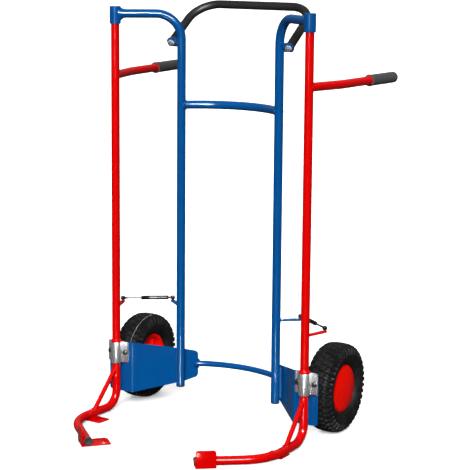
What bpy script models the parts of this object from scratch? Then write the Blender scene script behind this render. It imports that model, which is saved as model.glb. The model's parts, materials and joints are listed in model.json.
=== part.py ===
"""Tyre hand truck with two swinging lifting arms, as separate pieces.

Frame: +Z up, the load side faces -Y, the operator stands at +Y, and X runs across.
The floor is Z = 0. "Left" pieces are at -X and "right" pieces at +X.
Every piece is laid out in the design frame, whose Y = 0 is the plane of the two arm
pivots; one empty then shifts the whole truck so that its box is centred on the origin.
"""

import math

import bmesh
import bpy
from mathutils import Matrix, Vector

MM = 0.001
GAP = 0.3 * MM  # air between pieces that touch
SIDES = {"left": -1, "right": 1}

# Tubes
ARM_R = 12.5 * MM
ARM_WALL = 2.0 * MM
FRAME_R = 13.0 * MM
FRAME_WALL = 2.0 * MM
TUBE_SIDES = 14
ARC_STEP = math.radians(15)  # angle between rings in a bend

# Swinging arms: a vertical tube that turns in a collar and a clamp
PIVOT_X = 320 * MM
ARM_TOP = 1207 * MM
PLATE_T = 3.5 * MM  # foot plates on the floor
FOOT_Z = PLATE_T + GAP + ARM_R
ELBOW_R = 48 * MM
# Each foot leaves the pivot at its own small angle, clockwise seen from above
FOOT_YAW = {"left": math.radians(5.0), "right": math.radians(0.6)}
FOOT_CORNER_Y = -195 * MM
FOOT_CORNER_R = 140 * MM
TOE_X = 159.5 * MM
TOE_Y = -317.5 * MM
BRACE_R = 6.8 * MM
BRACE_TOP_Z = 136 * MM
BRACE_FOOT_Y = -109 * MM
TOE_LENGTH = 57 * MM
TOE_INNER = 68.5 * MM  # from the foot tube's axis to the plate's inner edge
TOE_UPRIGHT = 50 * MM
TOE_WEDGE = 8 * MM
TOE_WALL = 4.5 * MM
HEEL_X = (270 * MM, 328 * MM)
HEEL_Y = (-140 * MM, -92 * MM)
HANDLE_Z = 1014 * MM
HANDLE_CORNER = (354 * MM, 130 * MM)
HANDLE_END = (376 * MM, 421 * MM)
HANDLE_CORNER_R = 150 * MM
GRIP_LENGTH = 140 * MM
GRIP_R = 16.5 * MM
GRIP_CAP = 7 * MM
STOP_LENGTH = 4.5 * MM  # rolled ring in front of the grip
STOP_R = 16.4 * MM

# Upright frame
UPRIGHT_X = 164 * MM
UPRIGHT_Y = 115 * MM
UPRIGHT_FOOT = 73 * MM
TOP_RUN_Z = 1193.5 * MM
TOP_BEND_R = 76 * MM
UPPER_BAR_Z = 926 * MM
UPPER_BAR_R = 12.5 * MM
UPPER_BAR_BOW = 73 * MM
LOWER_BAR_Z = 131 * MM
LOWER_BAR_R = 8.8 * MM
LOWER_BAR_Y = 168 * MM
LOWER_BAR_BOW = 33 * MM

# Collar at the top of each pivot
COLLAR_R = 16.5 * MM
COLLAR_BORE = 14.2 * MM
COLLAR_LOW = 1164 * MM
COLLAR_TOP = 1215 * MM
COLLAR_LID = 4 * MM

# Clamp at the bottom of each pivot
CLAMP_LOW = 148 * MM
CLAMP_TOP = 211 * MM
CLAMP_R = 17.2 * MM
CLAMP_BORE = 14.4 * MM
CLAMP_HALF = 36 * MM
CLAMP_FLANGE = 6 * MM
CLAMP_CORNER = 11 * MM
CLAMP_BOLT_X = 26.5 * MM
STOP_RING_R = 16.2 * MM
STOP_RING_H = 10.5 * MM

# Folded side plate, which carries the clamp in front and the axle behind
SHEET = 3 * MM
FLANGE_Y = 17 * MM  # its front face
FLANGE_OUT_X = 355 * MM
FOLD_X = 276 * MM
FOLD_R = 6 * MM
WING_LENGTH = 206 * MM  # from the fold to the rear end
# distance past the fold, bottom, top
WING_EDGES = ((0, 56, 210), (100, 70, 192), (160, 79, 181), (206, 92, 170))
SLEEVE_R = 15 * MM
SLEEVE_IN_X = 136 * MM
SLEEVE_OUT_X = 291.5 * MM
RIB_X = (278 * MM, 282 * MM)

# Wheels
WHEEL_X = 331 * MM
WHEEL_Y = 170 * MM
WHEEL_R = 130 * MM
AXLE_R = 10 * MM
WHEEL_SEGMENTS = 32

# Push handle
LUG = Vector((196 * MM, 112 * MM, 1110 * MM))
LUG_T = 5 * MM
LUG_R = 15.5 * MM
PUSH_R = 12.5 * MM
PUSH_WALL = 2.0 * MM
PUSH_BAR_Y = 265 * MM
PUSH_RISE = math.radians(34.9)
PUSH_CORNER_R = 75 * MM

# Gas struts
STRUT_Z = 328.5 * MM
STRUT_FRAME = Vector((220.6 * MM, 158.7 * MM, STRUT_Z))
STRUT_ARM = Vector((344.7 * MM, 72.4 * MM, STRUT_Z))
STRUT_R = 6.2 * MM
ROD_R = 3.0 * MM
LINK_LOW = 315 * MM
LINK_TOP = 321 * MM
LINK_HALF = 6 * MM
STUD_TOP = 323.5 * MM
SOCKET_LOW = 324 * MM
SOCKET_TOP = 333 * MM


def clear_scene():
    for obj in list(bpy.data.objects):
        bpy.data.objects.remove(obj, do_unlink=True)


def make_material(name, rgb, roughness, metallic):
    mat = bpy.data.materials.new(name)
    mat.use_nodes = True
    shader = mat.node_tree.nodes["Principled BSDF"]
    shader.inputs["Base Color"].default_value = (*rgb, 1)
    shader.inputs["Roughness"].default_value = roughness
    shader.inputs["Metallic"].default_value = metallic
    mat.diffuse_color = (*rgb, 1)
    return mat


def make_empty(name, place, parent=None):
    empty = bpy.data.objects.new(name, None)
    bpy.context.collection.objects.link(empty)
    empty.parent = parent
    empty.location = place
    return empty


class Body:
    """A rigid group of pieces: an empty on its joint's axis, and where that is."""

    def __init__(self, name, pivot, parent=None):
        self.pivot = Vector(pivot)
        offset = self.pivot - parent.pivot if parent else self.pivot
        self.empty = make_empty(name, offset, parent.empty if parent else None)


def add_object(name, bm, mat, body):
    """A bmesh laid out in the design frame becomes an object of that body."""
    bmesh.ops.remove_doubles(bm, verts=bm.verts, dist=1e-6)
    bmesh.ops.recalc_face_normals(bm, faces=bm.faces)
    bmesh.ops.translate(bm, verts=bm.verts, vec=-body.pivot)
    mesh = bpy.data.meshes.new(name)
    bm.to_mesh(mesh)
    bm.free()
    mesh.materials.append(mat)
    mesh.shade_smooth()
    mesh.set_sharp_from_angle(angle=math.radians(35))
    obj = bpy.data.objects.new(name, mesh)
    bpy.context.collection.objects.link(obj)
    obj.parent = body.empty
    return obj


def combine(obj, other, operation):
    """A Boolean with a hidden second shape, which stays in the file as a guide."""
    other.hide_render = True
    other.display_type = "WIRE"
    modifier = obj.modifiers.new(other.name, "BOOLEAN")
    modifier.operation = operation
    modifier.object = other
    modifier.solver = "EXACT"


def axis_frame(direction):
    """Two unit vectors at right angles to a direction and to each other."""
    helper = Vector((0, 0, 1)) if abs(direction.z) < 0.9 else Vector((0, 1, 0))
    first = direction.cross(helper).normalized()
    return first, direction.cross(first).normalized()


def rounded_path(corners, radii):
    """The corners' polyline with a tangent arc of the given radius at each inner corner."""
    path = [corners[0]]
    for i, radius in enumerate(radii, start=1):
        back = (corners[i - 1] - corners[i]).normalized()
        ahead = (corners[i + 1] - corners[i]).normalized()
        turn = math.pi - back.angle(ahead)
        tangent = radius * math.tan(turn / 2)
        start = corners[i] + back * tangent
        centre = corners[i] + (back + ahead).normalized() * (radius / math.cos(turn / 2))
        spin = back.cross(ahead).normalized()
        steps = max(2, math.ceil(turn / ARC_STEP))
        for k in range(steps + 1):
            turned = Matrix.Rotation(-turn * k / steps, 3, spin) @ (start - centre)
            path.append(centre + turned)
    path.append(corners[-1])
    return path


def ring_of(bm, centre, first, second, radius, sides):
    ring = []
    for k in range(sides):
        angle = 2 * math.pi * k / sides
        spoke = first * math.cos(angle) + second * math.sin(angle)
        ring.append(bm.verts.new(centre + spoke * radius))
    return ring


def bridge(bm, ring_a, ring_b):
    count = len(ring_a)
    for k in range(count):
        n = (k + 1) % count
        bm.faces.new((ring_a[k], ring_a[n], ring_b[n], ring_b[k]))


def swept(bm, path, radius, bore, sides=TUBE_SIDES):
    """A round bar or tube along a path; its rings are carried along without twist."""
    directions = []
    for i in range(len(path)):
        ahead = path[min(i + 1, len(path) - 1)] - path[max(i - 1, 0)]
        directions.append(ahead.normalized())
    first, second = axis_frame(directions[0])
    outer, inner = [], []
    for i, point in enumerate(path):
        if i:
            turn = directions[i - 1].rotation_difference(directions[i])
            first = turn @ first
            second = turn @ second
        outer.append(ring_of(bm, point, first, second, radius, sides))
        if bore:
            inner.append(ring_of(bm, point, first, second, bore, sides))
    for rings in (outer, inner):
        for a, b in zip(rings, rings[1:]):
            bridge(bm, a, b)
    for end in (0, -1):
        if bore:
            bridge(bm, outer[end], inner[end])
        else:
            bm.faces.new(outer[end])


def add_tube(name, path, radius, wall, mat, body, sides=TUBE_SIDES):
    bm = bmesh.new()
    swept(bm, path, radius, radius - wall if wall else 0, sides)
    return add_object(name, bm, mat, body)


def add_turned(name, profile, origin, direction, mat, body, segments=20, hexes=()):
    """A closed outline of (distance along, radius) points turned about a direction.

    Points of the outline whose index is in hexes lie on a hexagon of that width across
    its flats, which takes 12 segments.
    """
    first, second = axis_frame(direction)
    bm = bmesh.new()
    rings = []
    for i, (along, radius) in enumerate(profile):
        centre = origin + direction * along
        if radius < 1e-9:
            rings.append([bm.verts.new(centre)])
            continue
        ring = ring_of(bm, centre, first, second, radius, segments)
        if i in hexes:
            for k in range(0, segments, 2):
                spoke = ring[k].co - centre
                ring[k].co = centre + spoke / math.cos(math.radians(30))
        rings.append(ring)
    for a, b in zip(rings, rings[1:] + rings[:1]):
        if len(a) == 1 and len(b) == 1:
            continue
        if len(a) == 1 or len(b) == 1:
            tip, ring = (a[0], b) if len(a) == 1 else (b[0], a)
            for k in range(segments):
                bm.faces.new((tip, ring[k], ring[(k + 1) % segments]))
        else:
            bridge(bm, a, b)
    return add_object(name, bm, mat, body)


def add_prism(name, outline, across, up, along, origin, depth, mat, body, edit=None):
    """A flat outline of (across, up) points, extruded by depth along a third direction."""
    bm = bmesh.new()
    ends = []
    for shift in (0, depth):
        start = origin + along * shift
        ends.append([bm.verts.new(start + across * a + up * u) for a, u in outline])
    bridge(bm, *ends)
    for end in ends:
        bm.faces.new(end)
    if edit:
        bmesh.ops.recalc_face_normals(bm, faces=bm.faces)
        edit(bm)
    return add_object(name, bm, mat, body)


def cylinder_guide(name, start, end, radius, body, sides=24):
    return add_tube(name, [start, end], radius, 0, None, body, sides)


def x_of(side, x):
    return SIDES[side] * x


def point(side, x, y, z):
    return Vector((SIDES[side] * x, y, z))


def foot_turn(side):
    return Matrix.Rotation(-FOOT_YAW[side], 3, "Z")


def foot_point(side, x, y, z):
    """A point of the foot, which is turned about the pivot by its yaw."""
    pivot = point(side, PIVOT_X, 0, z)
    return pivot + foot_turn(side) @ (point(side, x, y, z) - pivot)


def toe_direction(side):
    straight = Vector((x_of(side, TOE_X - PIVOT_X), TOE_Y - FOOT_CORNER_Y, 0))
    return foot_turn(side) @ straight.normalized()


def toe_inward(side):
    """From the foot tube towards the middle and back, level, square to the toe."""
    d = toe_direction(side)
    return Vector((d.y, -d.x, 0)) * SIDES[side]


def handle_direction(side):
    dx, dy = (HANDLE_END[i] - HANDLE_CORNER[i] for i in (0, 1))
    return Vector((x_of(side, dx), dy, 0)).normalized()


def wing_direction():
    """The side plate's wing passes behind the upright and just touches it."""
    dx, dy = UPRIGHT_X - FOLD_X, UPRIGHT_Y - (FLANGE_Y + SHEET / 2)
    aside = math.asin((FRAME_R + GAP + SHEET / 2) / math.hypot(dx, dy))
    angle = math.atan2(dy, dx) - aside
    return math.cos(angle), math.sin(angle)


# Swinging arms


def make_arm_tube(side, mat, body):
    corners = [
        point(side, PIVOT_X, 0, ARM_TOP),
        point(side, PIVOT_X, 0, FOOT_Z),
        foot_point(side, PIVOT_X, FOOT_CORNER_Y, FOOT_Z),
        foot_point(side, TOE_X, TOE_Y, FOOT_Z),
    ]
    path = rounded_path(corners, (ELBOW_R, FOOT_CORNER_R))
    add_tube(f"arm_tube_{side}", path, ARM_R, ARM_WALL, mat, body)


def make_brace(side, mat, body):
    top = point(side, PIVOT_X, 0, BRACE_TOP_Z)
    foot = foot_point(side, PIVOT_X, BRACE_FOOT_Y, FOOT_Z)
    brace = add_tube(f"arm_brace_{side}", [top, foot], BRACE_R, 0, mat, body, 12)
    upright_low = point(side, PIVOT_X, 0, FOOT_Z)
    upright_high = point(side, PIVOT_X, 0, BRACE_TOP_Z + 2 * ARM_R)
    foot_end = foot_point(side, PIVOT_X, 1.6 * BRACE_FOOT_Y, FOOT_Z)
    for name, start, end in (
        ("upright", upright_low, upright_high),
        ("foot", upright_low, foot_end),
    ):
        guide = cylinder_guide(f"cut_brace_{name}_{side}", start, end, ARM_R + GAP, body)
        combine(brace, guide, "DIFFERENCE")


def make_stop_ring(side, mat, body):
    low = CLAMP_TOP + GAP
    high = low + STOP_RING_H
    slope = 3.2 * MM
    inner = ARM_R + GAP
    profile = [
        (low, inner),
        (low, STOP_RING_R),
        (high - slope, STOP_RING_R),
        (high, inner + 0.6 * MM),
        (high, inner),
    ]
    centre = point(side, PIVOT_X, 0, 0)
    add_turned(f"stop_ring_{side}", profile, centre, Vector((0, 0, 1)), mat, body)


def make_arm_handle(side, mat, body):
    corners = [
        point(side, PIVOT_X, 0, HANDLE_Z),
        point(side, *HANDLE_CORNER, HANDLE_Z),
        point(side, *HANDLE_END, HANDLE_Z),
    ]
    path = rounded_path(corners, (HANDLE_CORNER_R,))
    handle = add_tube(f"arm_handle_{side}", path, ARM_R, ARM_WALL, mat, body)
    along = handle_direction(side)
    seat = path[-1] - along * (GRIP_LENGTH + GAP)
    ring_path = [seat - along * STOP_LENGTH, seat]
    wall = STOP_R - ARM_R + ARM_WALL / 2
    ring = add_tube(f"stop_{side}", ring_path, STOP_R, wall, None, body, 20)
    combine(handle, ring, "UNION")
    guide = cylinder_guide(
        f"cut_arm_handle_{side}",
        point(side, PIVOT_X, 0, HANDLE_Z - 3 * ARM_R),
        point(side, PIVOT_X, 0, HANDLE_Z + 3 * ARM_R),
        ARM_R + GAP,
        body,
    )
    combine(handle, guide, "DIFFERENCE")


def make_grip(side, mat, body):
    inner = ARM_R + GAP
    profile = [
        (-GRIP_LENGTH, inner),
        (-GRIP_LENGTH, GRIP_R - 1.5 * MM),
        (-GRIP_LENGTH + 3 * MM, GRIP_R),
        (GRIP_CAP - 7 * MM, GRIP_R),
        (GRIP_CAP - 2 * MM, GRIP_R - 2.5 * MM),
        (GRIP_CAP, GRIP_R - 7 * MM),
        (GRIP_CAP, 0),
        (GAP, 0),
        (GAP, inner),
    ]
    end = point(side, *HANDLE_END, HANDLE_Z)
    add_turned(f"grip_{side}", profile, end, handle_direction(side), mat, body)


def make_toe_bracket(side, mat, body):
    """An angle under and outside the toe, with a wedge along its inner edge."""
    outer = -(ARM_R + GAP)
    outline = [
        (outer - TOE_WALL, 0),
        (TOE_INNER, 0),
        (TOE_INNER, 1.0 * MM),
        (TOE_INNER - TOE_WEDGE, PLATE_T),
        (outer, PLATE_T),
        (outer, TOE_UPRIGHT),
        (outer - TOE_WALL, TOE_UPRIGHT),
    ]

    def round_top(bm):
        edges = [
            e
            for e in bm.edges
            if all(abs(v.co.z - TOE_UPRIGHT) < 1e-6 for v in e.verts)
            and e.calc_length() < 2 * TOE_WALL
        ]
        bmesh.ops.bevel(
            bm, geom=edges, offset=8 * MM, segments=3, profile=0.5, affect="EDGES"
        )

    add_prism(
        f"toe_bracket_{side}",
        outline,
        toe_inward(side),
        Vector((0, 0, 1)),
        -toe_direction(side),
        foot_point(side, TOE_X, TOE_Y, 0),
        TOE_LENGTH,
        mat,
        body,
        round_top,
    )


def make_heel_plate(side, mat, body):
    (x0, x1), (y0, y1) = ((x - PIVOT_X for x in HEEL_X), HEEL_Y)
    outline = [(x0, y0), (x1, y0), (x1, y1), (x0, y1)]
    turn = foot_turn(side)

    def round_corners(bm):
        edges = [e for e in bm.edges if abs(e.verts[0].co.z - e.verts[1].co.z) > 1e-4]
        bmesh.ops.bevel(
            bm, geom=edges, offset=5 * MM, segments=2, profile=0.5, affect="EDGES"
        )

    add_prism(
        f"heel_plate_{side}",
        outline,
        turn @ Vector((SIDES[side], 0, 0)),
        turn @ Vector((0, 1, 0)),
        Vector((0, 0, 1)),
        point(side, PIVOT_X, 0, 0),
        PLATE_T,
        mat,
        body,
        round_corners,
    )


def make_toe_plug(side, mat, body):
    profile = [
        (-14 * MM, 0),
        (-14 * MM, ARM_R - ARM_WALL - GAP),
        (GAP, ARM_R - ARM_WALL - GAP),
        (GAP, ARM_R),
        (2 * MM, ARM_R),
        (3.2 * MM, ARM_R - 1.5 * MM),
        (3.2 * MM, 0),
    ]
    end = foot_point(side, TOE_X, TOE_Y, FOOT_Z)
    add_turned(f"toe_plug_{side}", profile, end, toe_direction(side), mat, body, 16)


def make_strut_link(name, root, tip, tube_r, mat, body):
    """A flat arm welded to a tube, with a stud at its tip that the strut sits on."""
    level = Vector((root.x, root.y, 0))
    along = (Vector((tip.x, tip.y, 0)) - level).normalized()
    across = Vector((-along.y, along.x, 0))
    length = (Vector((tip.x, tip.y, 0)) - level).length
    outline = [(-LINK_HALF, 0), (-LINK_HALF, length)]
    steps = 6
    for k in range(1, steps):
        angle = math.pi - math.pi * k / steps
        x = LINK_HALF * math.cos(angle)
        y = length + LINK_HALF * math.sin(angle)
        outline.append((x, y))
    outline += [(LINK_HALF, length), (LINK_HALF, 0)]
    start = level + Vector((0, 0, LINK_LOW))
    up = Vector((0, 0, 1))
    link = add_prism(name, outline, across, along, up, start, LINK_TOP - LINK_LOW, mat, body)
    stud_low = Vector((tip.x, tip.y, LINK_LOW + 1 * MM))
    stud_high = Vector((tip.x, tip.y, STUD_TOP))
    stud = cylinder_guide(f"stud_{name}", stud_low, stud_high, 3.5 * MM, body, 12)
    combine(link, stud, "UNION")
    low = start - up * (2 * LINK_HALF)
    high = start + up * (3 * LINK_HALF)
    guide = cylinder_guide(f"cut_{name}", low, high, tube_r + GAP, body)
    combine(link, guide, "DIFFERENCE")


# Upright frame


def frame_path(side):
    corners = [
        point(side, UPRIGHT_X, UPRIGHT_Y, UPRIGHT_FOOT),
        point(side, UPRIGHT_X, UPRIGHT_Y, TOP_RUN_Z),
        point(side, PIVOT_X, 0, TOP_RUN_Z),
    ]
    return rounded_path(corners, (TOP_BEND_R,))


def make_frame_tube(side, mat, body):
    tube = add_tube(
        f"frame_tube_{side}", frame_path(side), FRAME_R, FRAME_WALL, mat, body
    )
    guide = cylinder_guide(
        f"cut_frame_tube_{side}",
        point(side, PIVOT_X, 0, COLLAR_LOW - 10 * MM),
        point(side, PIVOT_X, 0, COLLAR_TOP + 10 * MM),
        COLLAR_R + GAP,
        body,
        32,
    )
    combine(tube, guide, "DIFFERENCE")


def make_frame_plug(side, mat, body):
    inner = FRAME_R - FRAME_WALL - GAP
    profile = [
        (-5 * MM, 0),
        (-5 * MM, FRAME_R - 2 * MM),
        (-3.5 * MM, FRAME_R),
        (-GAP, FRAME_R),
        (-GAP, inner),
        (12 * MM, inner),
        (12 * MM, 0),
    ]
    end = point(side, UPRIGHT_X, UPRIGHT_Y, UPRIGHT_FOOT)
    add_turned(f"frame_end_plug_{side}", profile, end, Vector((0, 0, 1)), mat, body, 16)


def make_collar(side, mat, body):
    chamfer = 1.2 * MM
    profile = [
        (COLLAR_LOW, COLLAR_BORE),
        (COLLAR_LOW, COLLAR_R),
        (COLLAR_TOP - chamfer, COLLAR_R),
        (COLLAR_TOP, COLLAR_R - chamfer),
        (COLLAR_TOP, 0),
        (COLLAR_TOP - COLLAR_LID, 0),
        (COLLAR_TOP - COLLAR_LID, COLLAR_BORE),
    ]
    centre = point(side, PIVOT_X, 0, 0)
    up = Vector((0, 0, 1))
    add_turned(f"top_collar_{side}", profile, centre, up, mat, body, 24)


def make_bush(name, side, low, high, outer, mat, body):
    inner = ARM_R + GAP
    profile = [(low, inner), (low, outer), (high, outer), (high, inner)]
    centre = point(side, PIVOT_X, 0, 0)
    add_turned(name, profile, centre, Vector((0, 0, 1)), mat, body, 16)


def bow_path(half, end_y, bow, z, steps):
    """An arc across the frame from side to side that bows towards the operator."""
    radius = (half**2 + bow**2) / (2 * bow)
    spread = math.asin(half / radius)
    path = []
    for k in range(steps + 1):
        angle = spread * (2 * k / steps - 1)
        y = end_y + bow - radius * (1 - math.cos(angle))
        path.append(Vector((radius * math.sin(angle), y, z)))
    return path


def make_upper_crossbar(mat, body):
    path = bow_path(UPRIGHT_X, UPRIGHT_Y, UPPER_BAR_BOW, UPPER_BAR_Z, 9)
    bar = add_tube("upper_crossbar", path, UPPER_BAR_R, 2 * MM, mat, body)
    for side in SIDES:
        guide = cylinder_guide(
            f"cut_upper_crossbar_{side}",
            point(side, UPRIGHT_X, UPRIGHT_Y, UPPER_BAR_Z - 40 * MM),
            point(side, UPRIGHT_X, UPRIGHT_Y, UPPER_BAR_Z + 40 * MM),
            FRAME_R + GAP,
            body,
        )
        combine(bar, guide, "DIFFERENCE")


def make_lower_crossbar(mat, body):
    """A bowed bar between the inner ends of the axle sleeves."""
    half = SLEEVE_IN_X + 4 * MM
    path = bow_path(half, LOWER_BAR_Y, LOWER_BAR_BOW, LOWER_BAR_Z, 6)
    bar = add_tube("lower_crossbar", path, LOWER_BAR_R, 2 * MM, mat, body)
    for side in SIDES:
        guide = cylinder_guide(
            f"cut_lower_crossbar_{side}",
            point(side, SLEEVE_IN_X - GAP, LOWER_BAR_Y, LOWER_BAR_Z),
            point(side, SLEEVE_IN_X + 30 * MM, LOWER_BAR_Y, LOWER_BAR_Z),
            30 * MM,
            body,
        )
        combine(bar, guide, "DIFFERENCE")


def wing_stations():
    """Along the folded sheet: plan point, plan normal, lower edge and upper edge."""
    wing = Vector(wing_direction())
    mid_y = FLANGE_Y + SHEET / 2
    fold = Vector((FOLD_X, mid_y))
    turn = math.acos(-wing.x)
    tangent = FOLD_R * math.tan(turn / 2)
    flange = FLANGE_OUT_X - FOLD_X - tangent
    round_r = 9 * MM
    stations = []

    def corner_loss(distance):
        if distance >= round_r:
            return 0
        return round_r - math.sqrt(round_r**2 - (round_r - distance) ** 2)

    for d in (0, 1.2 * MM, 4 * MM, round_r, flange):
        plan = Vector((FLANGE_OUT_X - d, mid_y))
        low, high = WING_EDGES[0][1] * MM, WING_EDGES[0][2] * MM
        loss = corner_loss(d)
        stations.append((plan, Vector((0, 1)), low + loss, high - loss))
    centre = Vector((FOLD_X + tangent, mid_y + FOLD_R))
    for k in (1, 2):
        a = turn * k / 3
        plan = centre + Vector((-math.sin(a), -math.cos(a))) * FOLD_R
        normal = Vector((math.sin(a), math.cos(a)))
        stations.append((plan, normal, stations[-1][2], stations[-1][3]))
    normal = Vector((-wing.y, wing.x)) * -1
    ends = [WING_LENGTH - d for d in (round_r, 4 * MM, 1.2 * MM, 0)]
    inner = [e[0] * MM for e in WING_EDGES[1:-1]]
    for s in [tangent, *inner, *ends]:
        below = max(i for i, e in enumerate(WING_EDGES[:-1]) if e[0] * MM <= s + 1e-9)
        (s0, lo0, hi0), (s1, lo1, hi1) = WING_EDGES[below], WING_EDGES[below + 1]
        t = (s / MM - s0) / (s1 - s0)
        loss = corner_loss(WING_LENGTH - s)
        low = (lo0 + (lo1 - lo0) * t) * MM + loss
        high = (hi0 + (hi1 - hi0) * t) * MM - loss
        stations.append((fold + wing * s, normal, low, high))
    return stations


def make_side_plate(side, mat, body):
    """The folded sheet with the axle sleeve and a rib welded to it, as one piece."""
    bm = bmesh.new()
    rows = []
    for plan, normal, low, high in wing_stations():
        front, back = plan - normal * (SHEET / 2), plan + normal * (SHEET / 2)
        corners = ((front, low), (front, high), (back, high), (back, low))
        rows.append([bm.verts.new(point(side, p.x, p.y, z)) for p, z in corners])
    for a, b in zip(rows, rows[1:]):
        bridge(bm, a, b)
    bm.faces.new(rows[0])
    bm.faces.new(rows[-1])
    plate = add_object(f"side_plate_{side}", bm, mat, body)
    sleeve = cylinder_guide(
        f"sleeve_{side}",
        point(side, SLEEVE_IN_X, WHEEL_Y, WHEEL_R),
        point(side, SLEEVE_OUT_X, WHEEL_Y, WHEEL_R),
        SLEEVE_R,
        body,
        20,
    )
    combine(plate, sleeve, "UNION")
    rib_low, rib_high = WHEEL_R - 24 * MM, WHEEL_R + 26 * MM
    front = FLANGE_Y + SHEET - 1 * MM
    outline = [
        (front, rib_low - 20 * MM),
        (WHEEL_Y, rib_low + 14 * MM),
        (WHEEL_Y, rib_high - 16 * MM),
        (front, rib_high + 20 * MM),
    ]
    rib = add_prism(
        f"rib_{side}",
        outline,
        Vector((0, 1, 0)),
        Vector((0, 0, 1)),
        Vector((SIDES[side], 0, 0)),
        Vector((x_of(side, RIB_X[0]), 0, 0)),
        RIB_X[1] - RIB_X[0],
        None,
        body,
    )
    combine(plate, rib, "UNION")
    bore = cylinder_guide(
        f"cut_sleeve_{side}",
        point(side, SLEEVE_IN_X - 20 * MM, WHEEL_Y, WHEEL_R),
        point(side, SLEEVE_OUT_X + 20 * MM, WHEEL_Y, WHEEL_R),
        AXLE_R + GAP,
        body,
        20,
    )
    combine(plate, bore, "DIFFERENCE")
    for place, shift in clamp_bolts().items():
        hole = bolt_hole(f"cut_flange_{place}_{side}", side, shift, body)
        combine(plate, hole, "DIFFERENCE")


def clamp_bolts():
    return {"inner": -CLAMP_BOLT_X, "outer": CLAMP_BOLT_X}


def bolt_hole(name, side, shift, body):
    z = (CLAMP_LOW + CLAMP_TOP) / 2
    start = point(side, PIVOT_X + shift, -10 * MM, z)
    end = point(side, PIVOT_X + shift, 40 * MM, z)
    return cylinder_guide(name, start, end, 4.4 * MM, body, 12)


def make_clamp(side, mat, body):
    """A saddle round the front of the arm tube, with a flange on each side."""
    back = FLANGE_Y - GAP
    face = back - CLAMP_FLANGE
    steps = 12
    lip = math.asin(face / CLAMP_R)
    outline = [(CLAMP_HALF, back), (CLAMP_HALF, face)]
    for k in range(steps + 1):
        a = lip - (math.pi + 2 * lip) * k / steps
        outline.append((CLAMP_R * math.cos(a), CLAMP_R * math.sin(a)))
    outline += [(-CLAMP_HALF, face), (-CLAMP_HALF, back), (-CLAMP_BORE, back)]
    for k in range(steps + 1):
        a = -math.pi + math.pi * k / steps
        outline.append((CLAMP_BORE * math.cos(a), CLAMP_BORE * math.sin(a)))
    outline.append((CLAMP_BORE, back))

    def round_flanges(bm):
        edges = []
        for e in bm.edges:
            a, b = (v.co for v in e.verts)
            ends = all(abs(abs(v.x - x_of(side, PIVOT_X)) - CLAMP_HALF) < 1e-6 for v in (a, b))
            if ends and abs(a.z - b.z) < 1e-6:
                edges.append(e)
        bmesh.ops.bevel(
            bm, geom=edges, offset=CLAMP_CORNER, segments=4, profile=0.5, affect="EDGES"
        )

    clamp = add_prism(
        f"clamp_{side}",
        outline,
        Vector((1, 0, 0)),
        Vector((0, 1, 0)),
        Vector((0, 0, 1)),
        point(side, PIVOT_X, 0, CLAMP_LOW),
        CLAMP_TOP - CLAMP_LOW,
        mat,
        body,
        round_flanges,
    )
    for place, shift in clamp_bolts().items():
        hole = bolt_hole(f"cut_clamp_{place}_{side}", side, shift, body)
        combine(clamp, hole, "DIFFERENCE")


def make_clamp_bolts(side, mat, body):
    """An M8 bolt on each side of the clamp, with its washer and nut behind the sheet."""
    head = FLANGE_Y - GAP - CLAMP_FLANGE - GAP
    nut = FLANGE_Y + SHEET + GAP
    profile = [
        (head - 7 * MM, 0),
        (head - 7 * MM, 6.5 * MM),
        (head - 1.6 * MM, 6.5 * MM),
        (head - 1.6 * MM, 8 * MM),
        (head, 8 * MM),
        (head, 4 * MM),
        (nut, 4 * MM),
        (nut, 6.5 * MM),
        (nut + 6.5 * MM, 6.5 * MM),
        (nut + 6.5 * MM, 4 * MM),
        (nut + 16 * MM, 4 * MM),
        (nut + 16 * MM, 0),
    ]
    z = (CLAMP_LOW + CLAMP_TOP) / 2
    for place, shift in clamp_bolts().items():
        origin = point(side, PIVOT_X + shift, 0, z)
        add_turned(
            f"clamp_bolt_{place}_{side}",
            profile,
            origin,
            Vector((0, 1, 0)),
            mat,
            body,
            12,
            (1, 2, 7, 8),
        )


def make_axle(side, mat, body):
    """A stub axle pressed into the sleeve; its head keeps the wheel on."""
    hub_face = WHEEL_X + 14 * MM + GAP
    profile = [
        (SLEEVE_IN_X + 1 * MM, 0),
        (SLEEVE_IN_X + 1 * MM, AXLE_R),
        (hub_face, AXLE_R),
        (hub_face, 14.5 * MM),
        (hub_face + 7 * MM, 14.5 * MM),
        (hub_face + 7 * MM, 0),
    ]
    origin = Vector((0, WHEEL_Y, WHEEL_R))
    outward = Vector((SIDES[side], 0, 0))
    add_turned(f"axle_{side}", profile, origin, outward, mat, body, 20)


# Push handle


def push_direction():
    return Vector((0, math.cos(PUSH_RISE), math.sin(PUSH_RISE)))


def make_push_handle(mat, body):
    """A bowed tube with a threaded insert in each end."""
    rise = push_direction()
    reach = (PUSH_BAR_Y - LUG.y) / rise.y
    start = {s: Vector((x_of(s, LUG.x), LUG.y, LUG.z)) for s in SIDES}
    face = rise * (LUG_T / 2 + GAP)
    corners = [
        start["left"] + face,
        start["left"] + rise * reach,
        start["right"] + rise * reach,
        start["right"] + face,
    ]
    path = rounded_path(corners, (PUSH_CORNER_R, PUSH_CORNER_R))
    handle = add_tube("push_handle", path, PUSH_R, PUSH_WALL, mat, body)
    for side in SIDES:
        low = start[side] + face + rise * (1 * MM)
        insert = cylinder_guide(
            f"insert_{side}", low, low + rise * (22 * MM), PUSH_R - PUSH_WALL / 2, body, 16
        )
        combine(handle, insert, "UNION")
        bore = cylinder_guide(
            f"cut_insert_{side}",
            low - rise * (10 * MM),
            low + rise * (40 * MM),
            5.3 * MM,
            body,
            12,
        )
        combine(handle, bore, "DIFFERENCE")


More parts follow.
